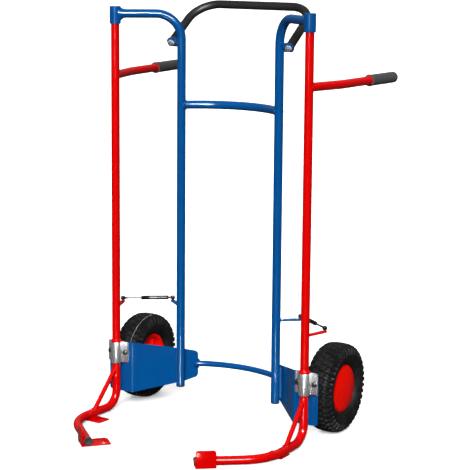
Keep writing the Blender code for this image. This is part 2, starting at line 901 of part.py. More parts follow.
def make_handle_lug(side, mat, body):
    """A rounded plate from the upright out to the end of the push handle."""
    rise = push_direction()
    across = Vector((SIDES[side], 0, 0))
    up = Vector((0, -rise.z, rise.y))
    reach = LUG.x - UPRIGHT_X
    outline = [(-reach, -LUG_R), (0, -LUG_R)]
    steps = 10
    for k in range(1, steps):
        angle = -math.pi / 2 + math.pi * k / steps
        outline.append((LUG_R * math.cos(angle), LUG_R * math.sin(angle)))
    outline += [(0, LUG_R), (-reach, LUG_R)]
    centre = Vector((x_of(side, LUG.x), LUG.y, LUG.z))
    origin = centre - rise * (LUG_T / 2)
    lug = add_prism(
        f"handle_lug_{side}", outline, across, up, rise, origin, LUG_T, mat, body
    )
    bolt = [centre - rise * (20 * MM), centre + rise * (20 * MM)]
    for name, path, radius, sides in (
        ("upright", frame_path(side), FRAME_R + GAP, 24),
        ("bolt", bolt, 5.3 * MM, 12),
    ):
        guide = add_tube(f"cut_lug_{name}_{side}", path, radius, 0, None, body, sides)
        combine(lug, guide, "DIFFERENCE")


def make_handle_bolt(side, mat, body):
    """An M10 bolt with its washer, through the lug into the handle's insert."""
    head = -(LUG_T / 2 + GAP)
    profile = [
        (head - 8.6 * MM, 0),
        (head - 8.6 * MM, 8.5 * MM),
        (head - 2 * MM, 8.5 * MM),
        (head - 2 * MM, 10.5 * MM),
        (head, 10.5 * MM),
        (head, 5 * MM),
        (24 * MM, 5 * MM),
        (24 * MM, 0),
    ]
    centre = Vector((x_of(side, LUG.x), LUG.y, LUG.z))
    add_turned(
        f"handle_bolt_{side}", profile, centre, push_direction(), mat, body, 12, (1, 2)
    )


# Gas struts


def strut_axis(side):
    start = point(side, *STRUT_FRAME)
    end = point(side, *STRUT_ARM)
    return start, (end - start).normalized(), (end - start).length


def add_socket(obj, name, centre, body):
    low = Vector((centre.x, centre.y, SOCKET_LOW))
    high = Vector((centre.x, centre.y, SOCKET_TOP))
    socket = cylinder_guide(name, low, high, 6 * MM, body, 14)
    combine(obj, socket, "UNION")


def make_strut_cylinder(side, mat, body):
    start, along, _ = strut_axis(side)
    gland, floor = 96 * MM, 20 * MM
    profile = [
        (2 * MM, 0),
        (2 * MM, 3.4 * MM),
        (13 * MM, 3.4 * MM),
        (14.5 * MM, STRUT_R),
        (gland - 1 * MM, STRUT_R),
        (gland, STRUT_R - 1 * MM),
        (gland, ROD_R + GAP),
        (gland - 5 * MM, ROD_R + GAP),
        (gland - 5 * MM, 4.8 * MM),
        (floor, 4.8 * MM),
        (floor, 0),
    ]
    name = f"strut_cylinder_{side}"
    cylinder = add_turned(name, profile, start, along, mat, body, 14)
    add_socket(cylinder, f"socket_{name}", start, body)


def make_strut_rod(side, mat, body):
    start, along, length = strut_axis(side)
    piston = 60 * MM
    profile = [
        (piston, 0),
        (piston, 4.4 * MM),
        (piston + 5 * MM, 4.4 * MM),
        (piston + 5 * MM, ROD_R),
        (length - 2 * MM, ROD_R),
        (length - 2 * MM, 0),
    ]
    name = f"strut_rod_{side}"
    rod = add_turned(name, profile, start, along, mat, body, 12)
    add_socket(rod, f"socket_{name}", start + along * length, body)


# Wheels

TYRE_HALF = (
    (23.5, 60.3),
    (23.5, 68.6),
    (29, 70),
    (39, 84),
    (42.5, 100),
    (39, 117),
    (33, 124.5),
    (20, 128.8),
    (6, 130),
)
RIM_OUTLINE = (
    (-38, 16),
    (-38, 24),
    (-13, 28),
    (-13, 53),
    (-23, 57),
    (-27, 63),
    (-27, 68),
    (-24, 68),
    (-23.8, 60),
    (23.8, 60),
    (24, 68),
    (27, 68),
    (27, 63),
    (23, 57),
    (-6, 54),
    (-3, 28),
    (14, 25),
    (14, 16),
)
CAP_OUTLINE = (
    (27.3, 62),
    (27.3, 67),
    (28.6, 66.6),
    (31.2, 56),
    (34, 38),
    (35.6, 18),
    (36, 0),
    (33.6, 0),
    (33.2, 18),
    (31.6, 38),
    (29, 55),
)


def make_wheel_piece(name, outline, side, mat, body, segments):
    profile = [(along * MM, radius * MM) for along, radius in outline]
    hub = point(side, WHEEL_X, WHEEL_Y, WHEEL_R)
    outward = Vector((SIDES[side], 0, 0))
    add_turned(f"{name}_{side}", profile, hub, outward, mat, body, segments)


def make_wheel(side, mats, body):
    tyre = [(x, r) for x, r in TYRE_HALF] + [(-x, r) for x, r in reversed(TYRE_HALF)]
    make_wheel_piece("tyre", tyre, side, mats["rubber"], body, WHEEL_SEGMENTS)
    make_wheel_piece("rim", RIM_OUTLINE, side, mats["red"], body, 24)
    make_wheel_piece("hub_cap", CAP_OUTLINE, side, mats["red"], body, 24)
    inner = (AXLE_R + GAP) / MM
    sleeve = ((-37.5, inner), (-37.5, 15.7), (13.5, 15.7), (13.5, inner))
    make_wheel_piece("wheel_bearing", sleeve, side, mats["zinc"], body, 20)


def make_arm(side, mats, body):
    make_arm_tube(side, mats["red"], body)
    make_brace(side, mats["red"], body)
    make_stop_ring(side, mats["red"], body)
    make_arm_handle(side, mats["red"], body)
    make_grip(side, mats["grip"], body)
    make_toe_bracket(side, mats["red"], body)
    make_heel_plate(side, mats["red"], body)
    make_toe_plug(side, mats["plug"], body)
    root = point(side, PIVOT_X, 0, 0)
    tip = point(side, *STRUT_ARM)
    make_strut_link(f"strut_link_arm_{side}", root, tip, ARM_R, mats["red"], body)


def make_frame_side(side, mats, body):
    make_frame_tube(side, mats["blue"], body)
    make_frame_plug(side, mats["black"], body)
    make_collar(side, mats["blue"], body)
    low, high = COLLAR_LOW + 1 * MM, COLLAR_TOP - COLLAR_LID - 3 * MM
    outer = COLLAR_BORE - GAP
    make_bush(f"collar_bush_{side}", side, low, high, outer, mats["nylon"], body)
    make_side_plate(side, mats["blue"], body)
    make_clamp(side, mats["aluminium"], body)
    outer = CLAMP_BORE - GAP
    low, high = CLAMP_LOW + 1 * MM, CLAMP_TOP - 1 * MM
    make_bush(f"clamp_bush_{side}", side, low, high, outer, mats["nylon"], body)
    make_clamp_bolts(side, mats["zinc"], body)
    make_axle(side, mats["zinc"], body)
    make_handle_lug(side, mats["blue"], body)
    make_handle_bolt(side, mats["zinc"], body)
    root = point(side, UPRIGHT_X, UPRIGHT_Y, 0)
    tip = point(side, *STRUT_FRAME)
    make_strut_link(f"strut_link_frame_{side}", root, tip, FRAME_R, mats["blue"], body)


def y_shift():
    """What centres the truck's box on Y = 0: from the toe brackets to the grips."""
    outer = ARM_R + GAP + TOE_WALL
    tips = {side: foot_point(side, TOE_X, TOE_Y, 0) for side in SIDES}
    front = min((tips[side] - toe_inward(side) * outer).y for side in SIDES)
    along = handle_direction("right")
    cap = HANDLE_END[1] + GRIP_CAP * along.y
    rim = (GRIP_R - 7 * MM) * abs(along.x)
    return -(front + cap + rim) / 2


def main():
    clear_scene()
    mats = {
        "red": make_material("red_paint", (0.62, 0.008, 0.006), 0.3, 0.0),
        "blue": make_material("blue_paint", (0.004, 0.09, 0.32), 0.3, 0.0),
        "black": make_material("black_paint", (0.02, 0.02, 0.022), 0.45, 0.0),
        "grip": make_material("grip_foam", (0.05, 0.055, 0.055), 0.8, 0.0),
        "plug": make_material("plug_plastic", (0.04, 0.045, 0.045), 0.5, 0.0),
        "rubber": make_material("tyre_rubber", (0.015, 0.015, 0.015), 0.7, 0.0),
        "aluminium": make_material("clamp_aluminium", (0.75, 0.76, 0.77), 0.3, 1.0),
        "zinc": make_material("zinc_steel", (0.6, 0.6, 0.6), 0.35, 1.0),
        "nylon": make_material("bush_nylon", (0.1, 0.1, 0.1), 0.5, 0.0),
        "chrome": make_material("rod_chrome", (0.7, 0.7, 0.7), 0.15, 1.0),
    }
    truck = Body("truck_origin", (0, 0, 0))
    truck.empty.location = (0, y_shift(), 0)
    for side in SIDES:
        make_frame_side(side, mats, truck)
        arm = Body(f"arm_pivot_{side}", point(side, PIVOT_X, 0, 0), truck)
        make_arm(side, mats, arm)
        strut = Body(f"strut_pivot_{side}", point(side, *STRUT_FRAME), truck)
        make_strut_cylinder(side, mats["black"], strut)
        rod = Body(f"rod_slide_{side}", point(side, *STRUT_FRAME), strut)
        make_strut_rod(side, mats["chrome"], rod)
        hub = Body(f"wheel_hub_{side}", point(side, WHEEL_X, WHEEL_Y, WHEEL_R), truck)
        make_wheel(side, mats, hub)
    make_upper_crossbar(mats["blue"], truck)
    make_lower_crossbar(mats["blue"], truck)
    make_push_handle(mats["black"], truck)


main()
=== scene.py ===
"""Looks for the tyre hand truck: detailed tubes, welds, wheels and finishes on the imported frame.

Row frame: metres, +Z up, the load side faces -Y. Plan positions below are measured from
the plane of the two arm pivots, which place() turns into row coordinates.
"""

import json
import math

import bmesh
import bpy
from mathutils import Matrix, Vector, noise


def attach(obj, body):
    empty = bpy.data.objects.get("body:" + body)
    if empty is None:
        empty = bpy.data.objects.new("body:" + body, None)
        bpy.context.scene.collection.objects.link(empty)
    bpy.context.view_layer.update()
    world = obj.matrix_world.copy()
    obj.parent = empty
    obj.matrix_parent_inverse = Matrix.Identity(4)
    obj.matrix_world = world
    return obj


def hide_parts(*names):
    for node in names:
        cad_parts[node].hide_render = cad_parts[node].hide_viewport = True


MM = 0.001
SIDES = {"left": -1, "right": 1}
UP = Vector((0, 0, 1))
BACK = Vector((0, 1, 0))

# Tubes and bars, as in the CAD model
TUBE_SIDES = 40
ARC_STEP = math.radians(5)
PIVOT_X = 320 * MM
ARM_R = 12.5 * MM
ARM_TOP = 1207 * MM
PLATE_T = 3.5 * MM
FOOT_Z = 16.3 * MM
FOOT_YAW = {"left": 5.0, "right": 0.6}  # degrees clockwise, seen from above
TOE = (159.5 * MM, -317.5 * MM)
TOE_LENGTH = 57 * MM
FOOT_CORNER_Y = -195 * MM
BRACE_TOP = 136 * MM
BRACE_FOOT_Y = -109 * MM
BRACE_R = 6.8 * MM
STOP_RING_Z = 211.4 * MM
UPRIGHT = (164 * MM, 115 * MM)
FRAME_R = 13 * MM
UPRIGHT_FOOT = 73 * MM
TOP_RUN_Z = 1193.5 * MM
HANDLE_Z = 1014 * MM
HANDLE_CORNER = (354 * MM, 130 * MM)
HANDLE_END = (376 * MM, 421 * MM)
GRIP_LENGTH = 140 * MM
GRIP_R = 16.5 * MM
COLLAR_R = 16.5 * MM
COLLAR_Z = (1164 * MM, 1215 * MM)
CROSSBAR = (12.5 * MM, 73 * MM, 926 * MM)  # radius, bow and height
LOWER_BAR = (8.8 * MM, 33 * MM, 131 * MM)
LOWER_BAR_END = (137 * MM, 168 * MM)
LUG = Vector((196 * MM, 112 * MM, 1110 * MM))
PUSH_RISE = math.radians(34.9)
PUSH_Y, PUSH_R, PUSH_BEND = 265 * MM, 12.5 * MM, 75 * MM
WHEEL = (331 * MM, 170 * MM, 130 * MM)
CLAMP_Z = (148 * MM, 211 * MM)
FLANGE_Y = 17 * MM
SHEET = 3 * MM
FOLD_X = 276 * MM
PLATE_EDGE = 355 * MM
WING_LENGTH = 206 * MM
WING_EDGES = ((0, 56, 210), (100, 70, 192), (160, 79, 181), (206, 92, 170))  # mm along, low, high
RIB_X = 278 * MM
SLEEVE_X = (136 * MM, 291.4 * MM)
STRUT_FRAME = (220.6 * MM, 158.7 * MM, 328.5 * MM)
STRUT_ARM = (344.7 * MM, 72.4 * MM, 328.5 * MM)
LINK_Z = 315 * MM


# Mesh building


def place(side, x, y, z):
    """A point of the plan, on one side, in the row frame."""
    return Vector((SIDES[side] * x, PIVOT_Y + y, z))


def away(side):
    """The sideways direction away from the middle."""
    return Vector((SIDES[side], 0, 0))


def metres(points):
    """Pairs of millimetres as pairs of metres."""
    return [(a * MM, b * MM) for a, b in points]


def foot_turn(side):
    return Matrix.Rotation(-math.radians(FOOT_YAW[side]), 3, "Z")


def foot_place(side, x, y, z):
    """A point of the foot, which is turned about the pivot by its yaw."""
    pivot = place(side, PIVOT_X, 0, z)
    return pivot + foot_turn(side) @ (place(side, x, y, z) - pivot)


def axis_frame(direction):
    """Two directions square to the given one and to each other."""
    helper = UP if abs(direction.z) < 0.9 else BACK
    first = direction.cross(helper).normalized()
    return first, direction.cross(first).normalized()


def rounded_path(corners, radii):
    """The corners' polyline with a tangent arc of the given radius at each inner corner."""
    path = [corners[0]]
    for i, radius in enumerate(radii, start=1):
        back = (corners[i - 1] - corners[i]).normalized()
        ahead = (corners[i + 1] - corners[i]).normalized()
        turn = math.pi - back.angle(ahead)
        start = corners[i] + back * (radius * math.tan(turn / 2))
        centre = corners[i] + (back + ahead).normalized() * (radius / math.cos(turn / 2))
        spin = back.cross(ahead).normalized()
        steps = max(2, math.ceil(turn / ARC_STEP))
        for k in range(steps + 1):
            spoke = Matrix.Rotation(-turn * k / steps, 3, spin) @ (start - centre)
            path.append(centre + spoke)
    path.append(corners[-1])
    return path


def even_angles(start, turn, steps):
    return [start + turn * k / steps for k in range(steps + 1)]


def full_turn(steps):
    return even_angles(0, 2 * math.pi, steps)[:-1]


def arc(centre, first, second, radius, angles):
    """Points round a centre, at angles from the first direction towards the second."""
    return [centre + (first * math.cos(a) + second * math.sin(a)) * radius for a in angles]


def flat_arc(x, y, radius, start, turn, steps):
    """The same as (x, y) pairs for an outline."""
    angles = even_angles(start, turn, steps)
    return [(x + radius * math.cos(a), y + radius * math.sin(a)) for a in angles]


def ring_of(bm, centre, first, second, radius, sides):
    points = arc(centre, first, second, radius, full_turn(sides))
    return [bm.verts.new(p) for p in points]


def bridge(bm, a, b):
    for k in range(len(a)):
        n = (k + 1) % len(a)
        bm.faces.new((a[k], a[n], b[n], b[k]))


def loft(bm, rings):
    """A skin over a row of rings, with both ends closed."""
    for a, b in zip(rings, rings[1:]):
        bridge(bm, a, b)
    bm.faces.new(rings[0])
    bm.faces.new(rings[-1])


def quarter(steps, first=1):
    """Sine and cosine at even steps up to a right angle."""
    angles = even_angles(0, math.pi / 2, steps)[first:]
    return [(math.sin(a), math.cos(a)) for a in angles]


def swept(bm, path, radius, sides=TUBE_SIDES, closed=False):
    """A round bar along a path. The radius is one number, or one for each point."""
    count = len(path)
    radii = radius if isinstance(radius, list) else [radius] * count
    rings = []
    previous = first = second = None
    for i, centre in enumerate(path):
        if closed:
            direction = (path[(i + 1) % count] - path[i - 1]).normalized()
        else:
            ends = path[min(i + 1, count - 1)], path[max(i - 1, 0)]
            direction = (ends[0] - ends[1]).normalized()
        if previous is None:
            first, second = axis_frame(direction)
        else:
            turn = previous.rotation_difference(direction)
            first, second = turn @ first, turn @ second
        previous = direction
        rings.append(ring_of(bm, centre, first, second, radii[i], sides))
    if not closed:
        loft(bm, rings)
        return
    for a, b in zip(rings, rings[1:]):
        bridge(bm, a, b)
    gaps = [(rings[0][k].co - rings[-1][0].co).length for k in range(sides)]
    shift = gaps.index(min(gaps))
    bridge(bm, rings[-1], rings[0][shift:] + rings[0][:shift])


def turned(bm, profile, origin, direction, segments=64, flats=()):
    """A closed outline of (along, radius) points turned about a direction.

    Outline points whose index is in flats lie on a hexagon instead of a circle.
    """
    first, second = axis_frame(direction)
    rings = []
    for i, (along, radius) in enumerate(profile):
        centre = origin + direction * along
        if radius < 1e-9:
            rings.append([bm.verts.new(centre)])
            continue
        ring = ring_of(bm, centre, first, second, radius, segments)
        if i in flats:
            for k, vert in enumerate(ring):
                angle = 2 * math.pi * k / segments
                off = (angle + math.pi / 6) % (math.pi / 3) - math.pi / 6
                vert.co = centre + (vert.co - centre) / math.cos(math.pi / 6 - abs(off))
        rings.append(ring)
    for a, b in zip(rings, rings[1:] + rings[:1]):
        if len(a) == 1 and len(b) == 1:
            continue
        if len(a) == 1 or len(b) == 1:
            tip, ring = (a[0], b) if len(a) == 1 else (b[0], a)
            for k in range(segments):
                bm.faces.new((tip, ring[k], ring[(k + 1) % segments]))
        else:
            bridge(bm, a, b)


def round_edges(bm, edges, radius, segments=2):
    bmesh.ops.bevel(bm, geom=edges, offset=radius, segments=segments, profile=0.5, affect="EDGES")


def prism(bm, outline, across, up, along, origin, depth, bevel=0.0):
    """A flat outline extruded by depth, with its long edges rounded."""
    ends = []
    for shift in (0, depth):
        start = origin + along * shift
        ends.append([bm.verts.new(start + across * a + up * u) for a, u in outline])
    bridge(bm, *ends)
    for end in ends:
        bm.faces.new(end)
    bmesh.ops.recalc_face_normals(bm, faces=bm.faces)
    if bevel:
        sharp = [e for e in bm.edges if e.calc_face_angle(0) > math.radians(30)]
        round_edges(bm, sharp, bevel)


class Finish:
    """A material with the record's slot that it belongs to."""

    def __init__(self, slot, material):
        self.slot = slot
        self.material = material

    def piece(self, name, bm, body, smooth=38):
        """An object that rides on a body. A skin stands in for the node of the same name."""
        bmesh.ops.remove_doubles(bm, verts=bm.verts, dist=1e-6)
        bmesh.ops.recalc_face_normals(bm, faces=bm.faces)
        mesh = bpy.data.meshes.new(name)
        bm.to_mesh(mesh)
        bm.free()
        mesh.materials.append(self.material)
        mesh.shade_smooth()
        mesh.set_sharp_from_angle(angle=math.radians(smooth))
        obj = bpy.data.objects.new(name, mesh)
        bpy.context.scene.collection.objects.link(obj)
        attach(obj, body)
        nodes = [name.replace("_skin", "")] if "_skin" in name else []
        if nodes:
            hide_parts(*nodes)


def bar(finish, name, path, radius, body, sides=TUBE_SIDES):
    bm = bmesh.new()
    swept(bm, path, radius, sides)
    finish.piece(name, bm, body)


def lathe(finish, name, profile, origin, direction, body, segments=64, flats=()):
    bm = bmesh.new()
    turned(bm, profile, origin, direction, segments, flats)
    finish.piece(name, bm, body)


# Welds


def resample(points, step, closed):
    """Points at even spacing along a polyline."""
    line = points + [points[0]] if closed else list(points)
    lengths = [(b - a).length for a, b in zip(line, line[1:])]
    total = sum(lengths)
    count = max(3, round(total / step))
    out, i, done = [], 0, 0.0
    for k in range(count + (0 if closed else 1)):
        want = total * k / count
        while i < len(lengths) - 1 and done + lengths[i] < want:
            done += lengths[i]
            i += 1
        t = (want - done) / max(lengths[i], 1e-9)
        out.append(line[i].lerp(line[i + 1], min(1, t)))
    return out


def bead(finish, name, points, radius, body, closed=False):
    """A weld bead: a rippled, slightly wandering fillet along a line."""
    path = resample(points, 0.55 * MM, closed)
    radii = []
    for k, p in enumerate(path):
        ripple = 0.10 * math.cos(2 * math.pi * k / 4)
        wander = 0.22 * noise.noise(p * 140)
        ease = 1 if closed else min(1, (k + 2) / 9, (len(path) + 1 - k) / 9)
        radii.append(radius * ease * (1 + ripple + wander))
    bm = bmesh.new()
    swept(bm, path, radii, 10, closed)
    finish.piece(name, bm, body, smooth=80)


def saddle(main_point, main_axis, main_r, start, direction, branch_r, count=64):
    """The line where a branch tube meets the outside of a main tube."""
    u, v = axis_frame(direction)
    line = []
    e = direction - main_axis * direction.dot(main_axis)
    for k in range(count):
        angle = 2 * math.pi * k / count
        q = start + (u * math.cos(angle) + v * math.sin(angle)) * branch_r
        w = q - main_point
        w -= main_axis * w.dot(main_axis)
        b = w.dot(e)
        root = max(0.0, b * b - e.length_squared * (w.length_squared - main_r**2))
        t = (-b + math.sqrt(root)) / e.length_squared
        line.append(q + direction * t)
    return line


# Swinging arms


def arm_path(side):
    corners = [
        place(side, PIVOT_X, 0, ARM_TOP),
        place(side, PIVOT_X, 0, FOOT_Z),
        foot_place(side, PIVOT_X, FOOT_CORNER_Y, FOOT_Z),
        foot_place(side, *TOE, FOOT_Z),
    ]
    return rounded_path(corners, (48 * MM, 140 * MM))


def toe_axes(side):
    corner = foot_place(side, PIVOT_X, FOOT_CORNER_Y, 0)
    along = (foot_place(side, *TOE, 0) - corner).normalized()
    inward = Vector((along.y, -along.x, 0)) * SIDES[side]
    return along, inward


def add_arm(side, red):
    body = f"arm_{side}"
    bar(red, f"arm_tube_skin_{side}", arm_path(side), ARM_R, body)
    pivot = place(side, PIVOT_X, 0, 0)
    add_brace(side, red, body, pivot)
    add_arm_handle(side, red, body, pivot)
    add_stop_ring(side, red, body, pivot)
    add_toe(side, red, body)
    add_heel(side, red, body)
    add_strut_link(side, "arm", red, body, pivot, ARM_R)


def add_brace(side, red, body, pivot):
    top = place(side, PIVOT_X, 0, BRACE_TOP)
    foot = foot_place(side, PIVOT_X, BRACE_FOOT_Y, FOOT_Z)
    along = (foot - top).normalized()
    start, end = top + along * (11 * MM), foot - along * (14 * MM)
    bar(red, f"arm_brace_skin_{side}", [start, end], BRACE_R, body, 32)
    line = saddle(pivot, UP, ARM_R, top, along, BRACE_R + 0.8 * MM)
    bead(red, f"weld_brace_top_{side}", line, 2.0 * MM, body, True)
    foot_axis = foot_turn(side) @ -BACK
    bend = place(side, PIVOT_X, 0, FOOT_Z)
    line = saddle(bend, foot_axis, ARM_R, foot, -along, BRACE_R + 1.2 * MM)
    bead(red, f"weld_brace_foot_{side}", line, 2.4 * MM, body, True)


def handle_path(side):
    corners = [
        place(side, PIVOT_X, 0, HANDLE_Z),
        place(side, *HANDLE_CORNER, HANDLE_Z),
        place(side, *HANDLE_END, HANDLE_Z),
    ]
    return rounded_path(corners, (150 * MM,))


def add_arm_handle(side, red, body, pivot):
    path = handle_path(side)
    root = (path[1] - path[0]).normalized()
    path[0] = path[0] + root * (11 * MM)
    bar(red, f"arm_handle_skin_{side}", path, ARM_R, body)
    start = place(side, PIVOT_X, 0, HANDLE_Z)
    line = saddle(pivot, UP, ARM_R, start, root, ARM_R - 0.6 * MM)
    bead(red, f"weld_handle_{side}", line, 2.1 * MM, body, True)
    along = (path[-1] - path[-2]).normalized()
    grip_start = path[-1] - along * GRIP_LENGTH
    ring = [(-4.8, -0.5), (-4.8, 0.4), (-4.2, 1), (-3.2, 1.5)]
    ring += [(-2, 1.7), (-1, 1.5), (-0.4, 1), (-0.4, -0.5)]
    flare = [(a * MM, ARM_R + out * MM) for a, out in ring]
    lathe(red, f"grip_stop_{side}", flare, grip_start, along, body)


def add_grip(side, foam):
    """A foam sleeve with a raised rim, shallow waves and a rounded closed end."""
    path = handle_path(side)
    along = (path[-1] - path[-2]).normalized()
    bore, cap, rim, end = 12.6 * MM, 7 * MM, 1.4 * MM, 9 * MM
    profile = [(-GRIP_LENGTH, bore), (-GRIP_LENGTH, GRIP_R - 0.4 * MM)]
    for sine, cosine in quarter(4):
        profile.append((-GRIP_LENGTH + rim * (1 - cosine), GRIP_R - 0.4 * MM + rim * sine))
    profile.append((-GRIP_LENGTH + 3.4 * MM, GRIP_R + 1.0 * MM))
    profile.append((-GRIP_LENGTH + 4.6 * MM, GRIP_R + 0.5 * MM))
    waves, steps = 10, 40
    for k in range(steps + 1):
        along_k = -GRIP_LENGTH + 6 * MM + k / steps * (GRIP_LENGTH - 8 * MM)
        wave = 0.18 * MM * math.cos(k / steps * 2 * math.pi * waves)
        profile.append((along_k, GRIP_R - 0.2 * MM + wave))
    for sine, cosine in quarter(12):
        profile.append((cap - end * (1 - sine), GRIP_R - 0.1 * MM - end * (1 - cosine)))
    profile += [(cap, 0), (0.4 * MM, 0), (0.4 * MM, bore)]
    lathe(foam, f"grip_skin_{side}", profile, path[-1], along, f"arm_{side}")


def add_stop_ring(side, red, body, pivot):
    """A welded ring that rests on the clamp."""
    low, neck, top, fillet = STOP_RING_Z, 15.6 * MM, STOP_RING_Z + 6.2 * MM, 4 * MM
    profile = [(low, ARM_R - 0.4 * MM), (low, 15.4 * MM), (low + 0.8 * MM, 16.2 * MM)]
    profile += [(low + 5.2 * MM, 16.2 * MM), (top, neck)]
    for sine, cosine in quarter(5):
        profile.append((top + fillet * (1 - cosine), neck - (neck - ARM_R) * sine))
    profile.append((low + 10.2 * MM, ARM_R - 0.4 * MM))
    lathe(red, f"stop_ring_skin_{side}", profile, pivot, UP, body)


def add_toe(side, red, body):
    """The angle under the toe: a floor plate with a ramp, and a rounded upright."""
    along, inward = toe_axes(side)
    tip = foot_place(side, *TOE, 0)
    outer, wall, length, edge = -12.8 * MM, 4.5 * MM, TOE_LENGTH, 68.5 * MM
    bm = bmesh.new()
    plate = [
        (outer - wall, 0),
        (edge, 0),
        (edge, 0.9 * MM),
        (60.5 * MM, PLATE_T),
        (outer - wall + 1 * MM, PLATE_T),
        (outer - wall, PLATE_T - 1 * MM),
    ]
    prism(bm, plate, inward, UP, -along, tip, length, 0.45 * MM)
    radius, height = 8 * MM, 50 * MM
    outline = [(0, 0.5 * MM), (length, 0.5 * MM)]
    square = math.pi / 2
    outline += flat_arc(length - radius, height - radius, radius, 0, square, 8)
    outline += flat_arc(radius, height - radius, radius, square, square, 8)
    side_bm = bmesh.new()
    start = tip + inward * (outer - wall)
    prism(side_bm, outline, -along, UP, inward, start, wall, 0.5 * MM)
    mesh = bpy.data.meshes.new("toe_upright")
    side_bm.to_mesh(mesh)
    side_bm.free()
    bm.from_mesh(mesh)
    bpy.data.meshes.remove(mesh)
    red.piece(f"toe_bracket_skin_{side}", bm, body)
    seat = tip + UP * (PLATE_T + 0.6 * MM) + inward * (6.5 * MM)
    line = [seat - along * (3 * MM), seat - along * (length - 2 * MM)]
    bead(red, f"weld_toe_inner_{side}", line, 2.0 * MM, body)
    seat = tip - inward * (9.5 * MM) + UP * (25.7 * MM)
    line = [seat - along * (4 * MM), seat - along * (length - 4 * MM)]
    bead(red, f"weld_toe_outer_{side}", line, 1.8 * MM, body)


def add_heel(side, red, body):
    bm = bmesh.new()
    outline = metres([(-50, -140), (8, -140), (8, -92), (-50, -92)])
    across, back = (foot_turn(side) @ v for v in (away(side), BACK))
    prism(bm, outline, across, back, UP, place(side, PIVOT_X, 0, 0), PLATE_T, 0.6 * MM)
    red.piece(f"heel_plate_skin_{side}", bm, body)
    for where, shift in (("in", -7 * MM), ("out", 7 * MM)):
        line = [foot_place(side, PIVOT_X + shift, y * MM, 4.4 * MM) for y in (-96, -136)]
        bead(red, f"weld_heel_{where}_{side}", line, 1.9 * MM, body)


def add_toe_plug(side, plastic):
    along, _ = toe_axes(side)
    profile = [(-12, 0), (-12, 10.1), (0.2, 10.1), (0.2, 12.1), (0.6, 12.5), (1.9, 12.5)]
    profile += [(1.9 + 1.3 * sine, 11.2 + 1.3 * cosine) for sine, cosine in quarter(5)]
    profile = metres(profile + [(3, 8), (2.7, 7.4), (2.7, 0)])
    tip = foot_place(side, *TOE, FOOT_Z)
    lathe(plastic, f"toe_plug_skin_{side}", profile, tip, along, f"arm_{side}")


# Upright frame


def frame_path(side):
    corners = [
        place(side, *UPRIGHT, UPRIGHT_FOOT),
        place(side, *UPRIGHT, TOP_RUN_Z),
        place(side, PIVOT_X, 0, TOP_RUN_Z),
    ]
    return rounded_path(corners, (76 * MM,))


def add_frame_tube(side, blue):
    path = frame_path(side)
    run = (path[-2] - path[-1]).normalized()
    path[-1] = path[-1] + run * (14.5 * MM)
    bar(blue, f"frame_tube_skin_{side}", path, FRAME_R, "frame")
    add_collar(side, blue, run)


def add_end_plug(side, plastic):
    outline = ((-5, 0), (-5, 10.6), (-4.6, 12), (-3.6, 12.9), (-0.3, 13), (-0.3, 10), (8, 10), (8, 0))
    foot = place(side, *UPRIGHT, UPRIGHT_FOOT)
    lathe(plastic, f"frame_end_plug_{side}_skin", metres(outline), foot, UP, "frame")


def add_collar(side, blue, run):
    """The pivot's collar, with a closed top and a flared foot where the tube joins it."""
    (low, top), bore, edge = COLLAR_Z, 14.2 * MM, 1.6 * MM
    profile = [(low, bore), (low, COLLAR_R - 0.6 * MM), (low + 0.6 * MM, COLLAR_R)]
    for sine, cosine in quarter(5, 0):
        profile.append((top - edge * (1 - sine), COLLAR_R - edge * (1 - cosine)))
    profile += [(top - 0.4 * MM, 10 * MM), (top - 0.5 * MM, 0)]
    profile += [(top - 4 * MM, 0), (top - 4 * MM, bore)]
    centre = place(side, PIVOT_X, 0, 0)
    lathe(blue, f"top_collar_skin_{side}", profile, centre, UP, "frame")
    across = run.cross(UP).normalized()
    drop = 1.5 * MM
    start = place(side, PIVOT_X, 0, TOP_RUN_Z - drop)
    bm = bmesh.new()
    rings = []
    root, length, flare_from, flare_length, steps = 8 * MM, 22 * MM, 13 * MM, 15 * MM, 12
    for k in range(steps + 1):
        distance = root + length * k / steps
        spread = (1 - min(1, max(0, (distance - flare_from) / flare_length))) ** 1.6
        wide = FRAME_R + 0.15 * MM + 2.0 * MM * spread
        tall = FRAME_R + 0.15 * MM + 9.2 * MM * spread
        lift = UP * (drop * (1 - spread))
        ring = []
        for j in range(TUBE_SIDES):
            a = 2 * math.pi * j / TUBE_SIDES
            offset = across * (wide * math.cos(a)) + UP * (tall * math.sin(a))
            ring.append(bm.verts.new(start + run * distance + lift + offset))
        rings.append(ring)
    loft(bm, rings)
    blue.piece(f"collar_saddle_{side}", bm, "frame", smooth=60)


def bow_path(half, end_y, bow, z, steps):
    """An arc from side to side whose middle lies bow behind its ends."""
    radius = (half**2 + bow**2) / (2 * bow)
    spread = math.asin(half / radius)
    path = []
    for k in range(steps + 1):
        angle = spread * (2 * k / steps - 1)
        y = end_y + bow - radius * (1 - math.cos(angle))
        path.append(Vector((radius * math.sin(angle), PIVOT_Y + y, z)))
    return path


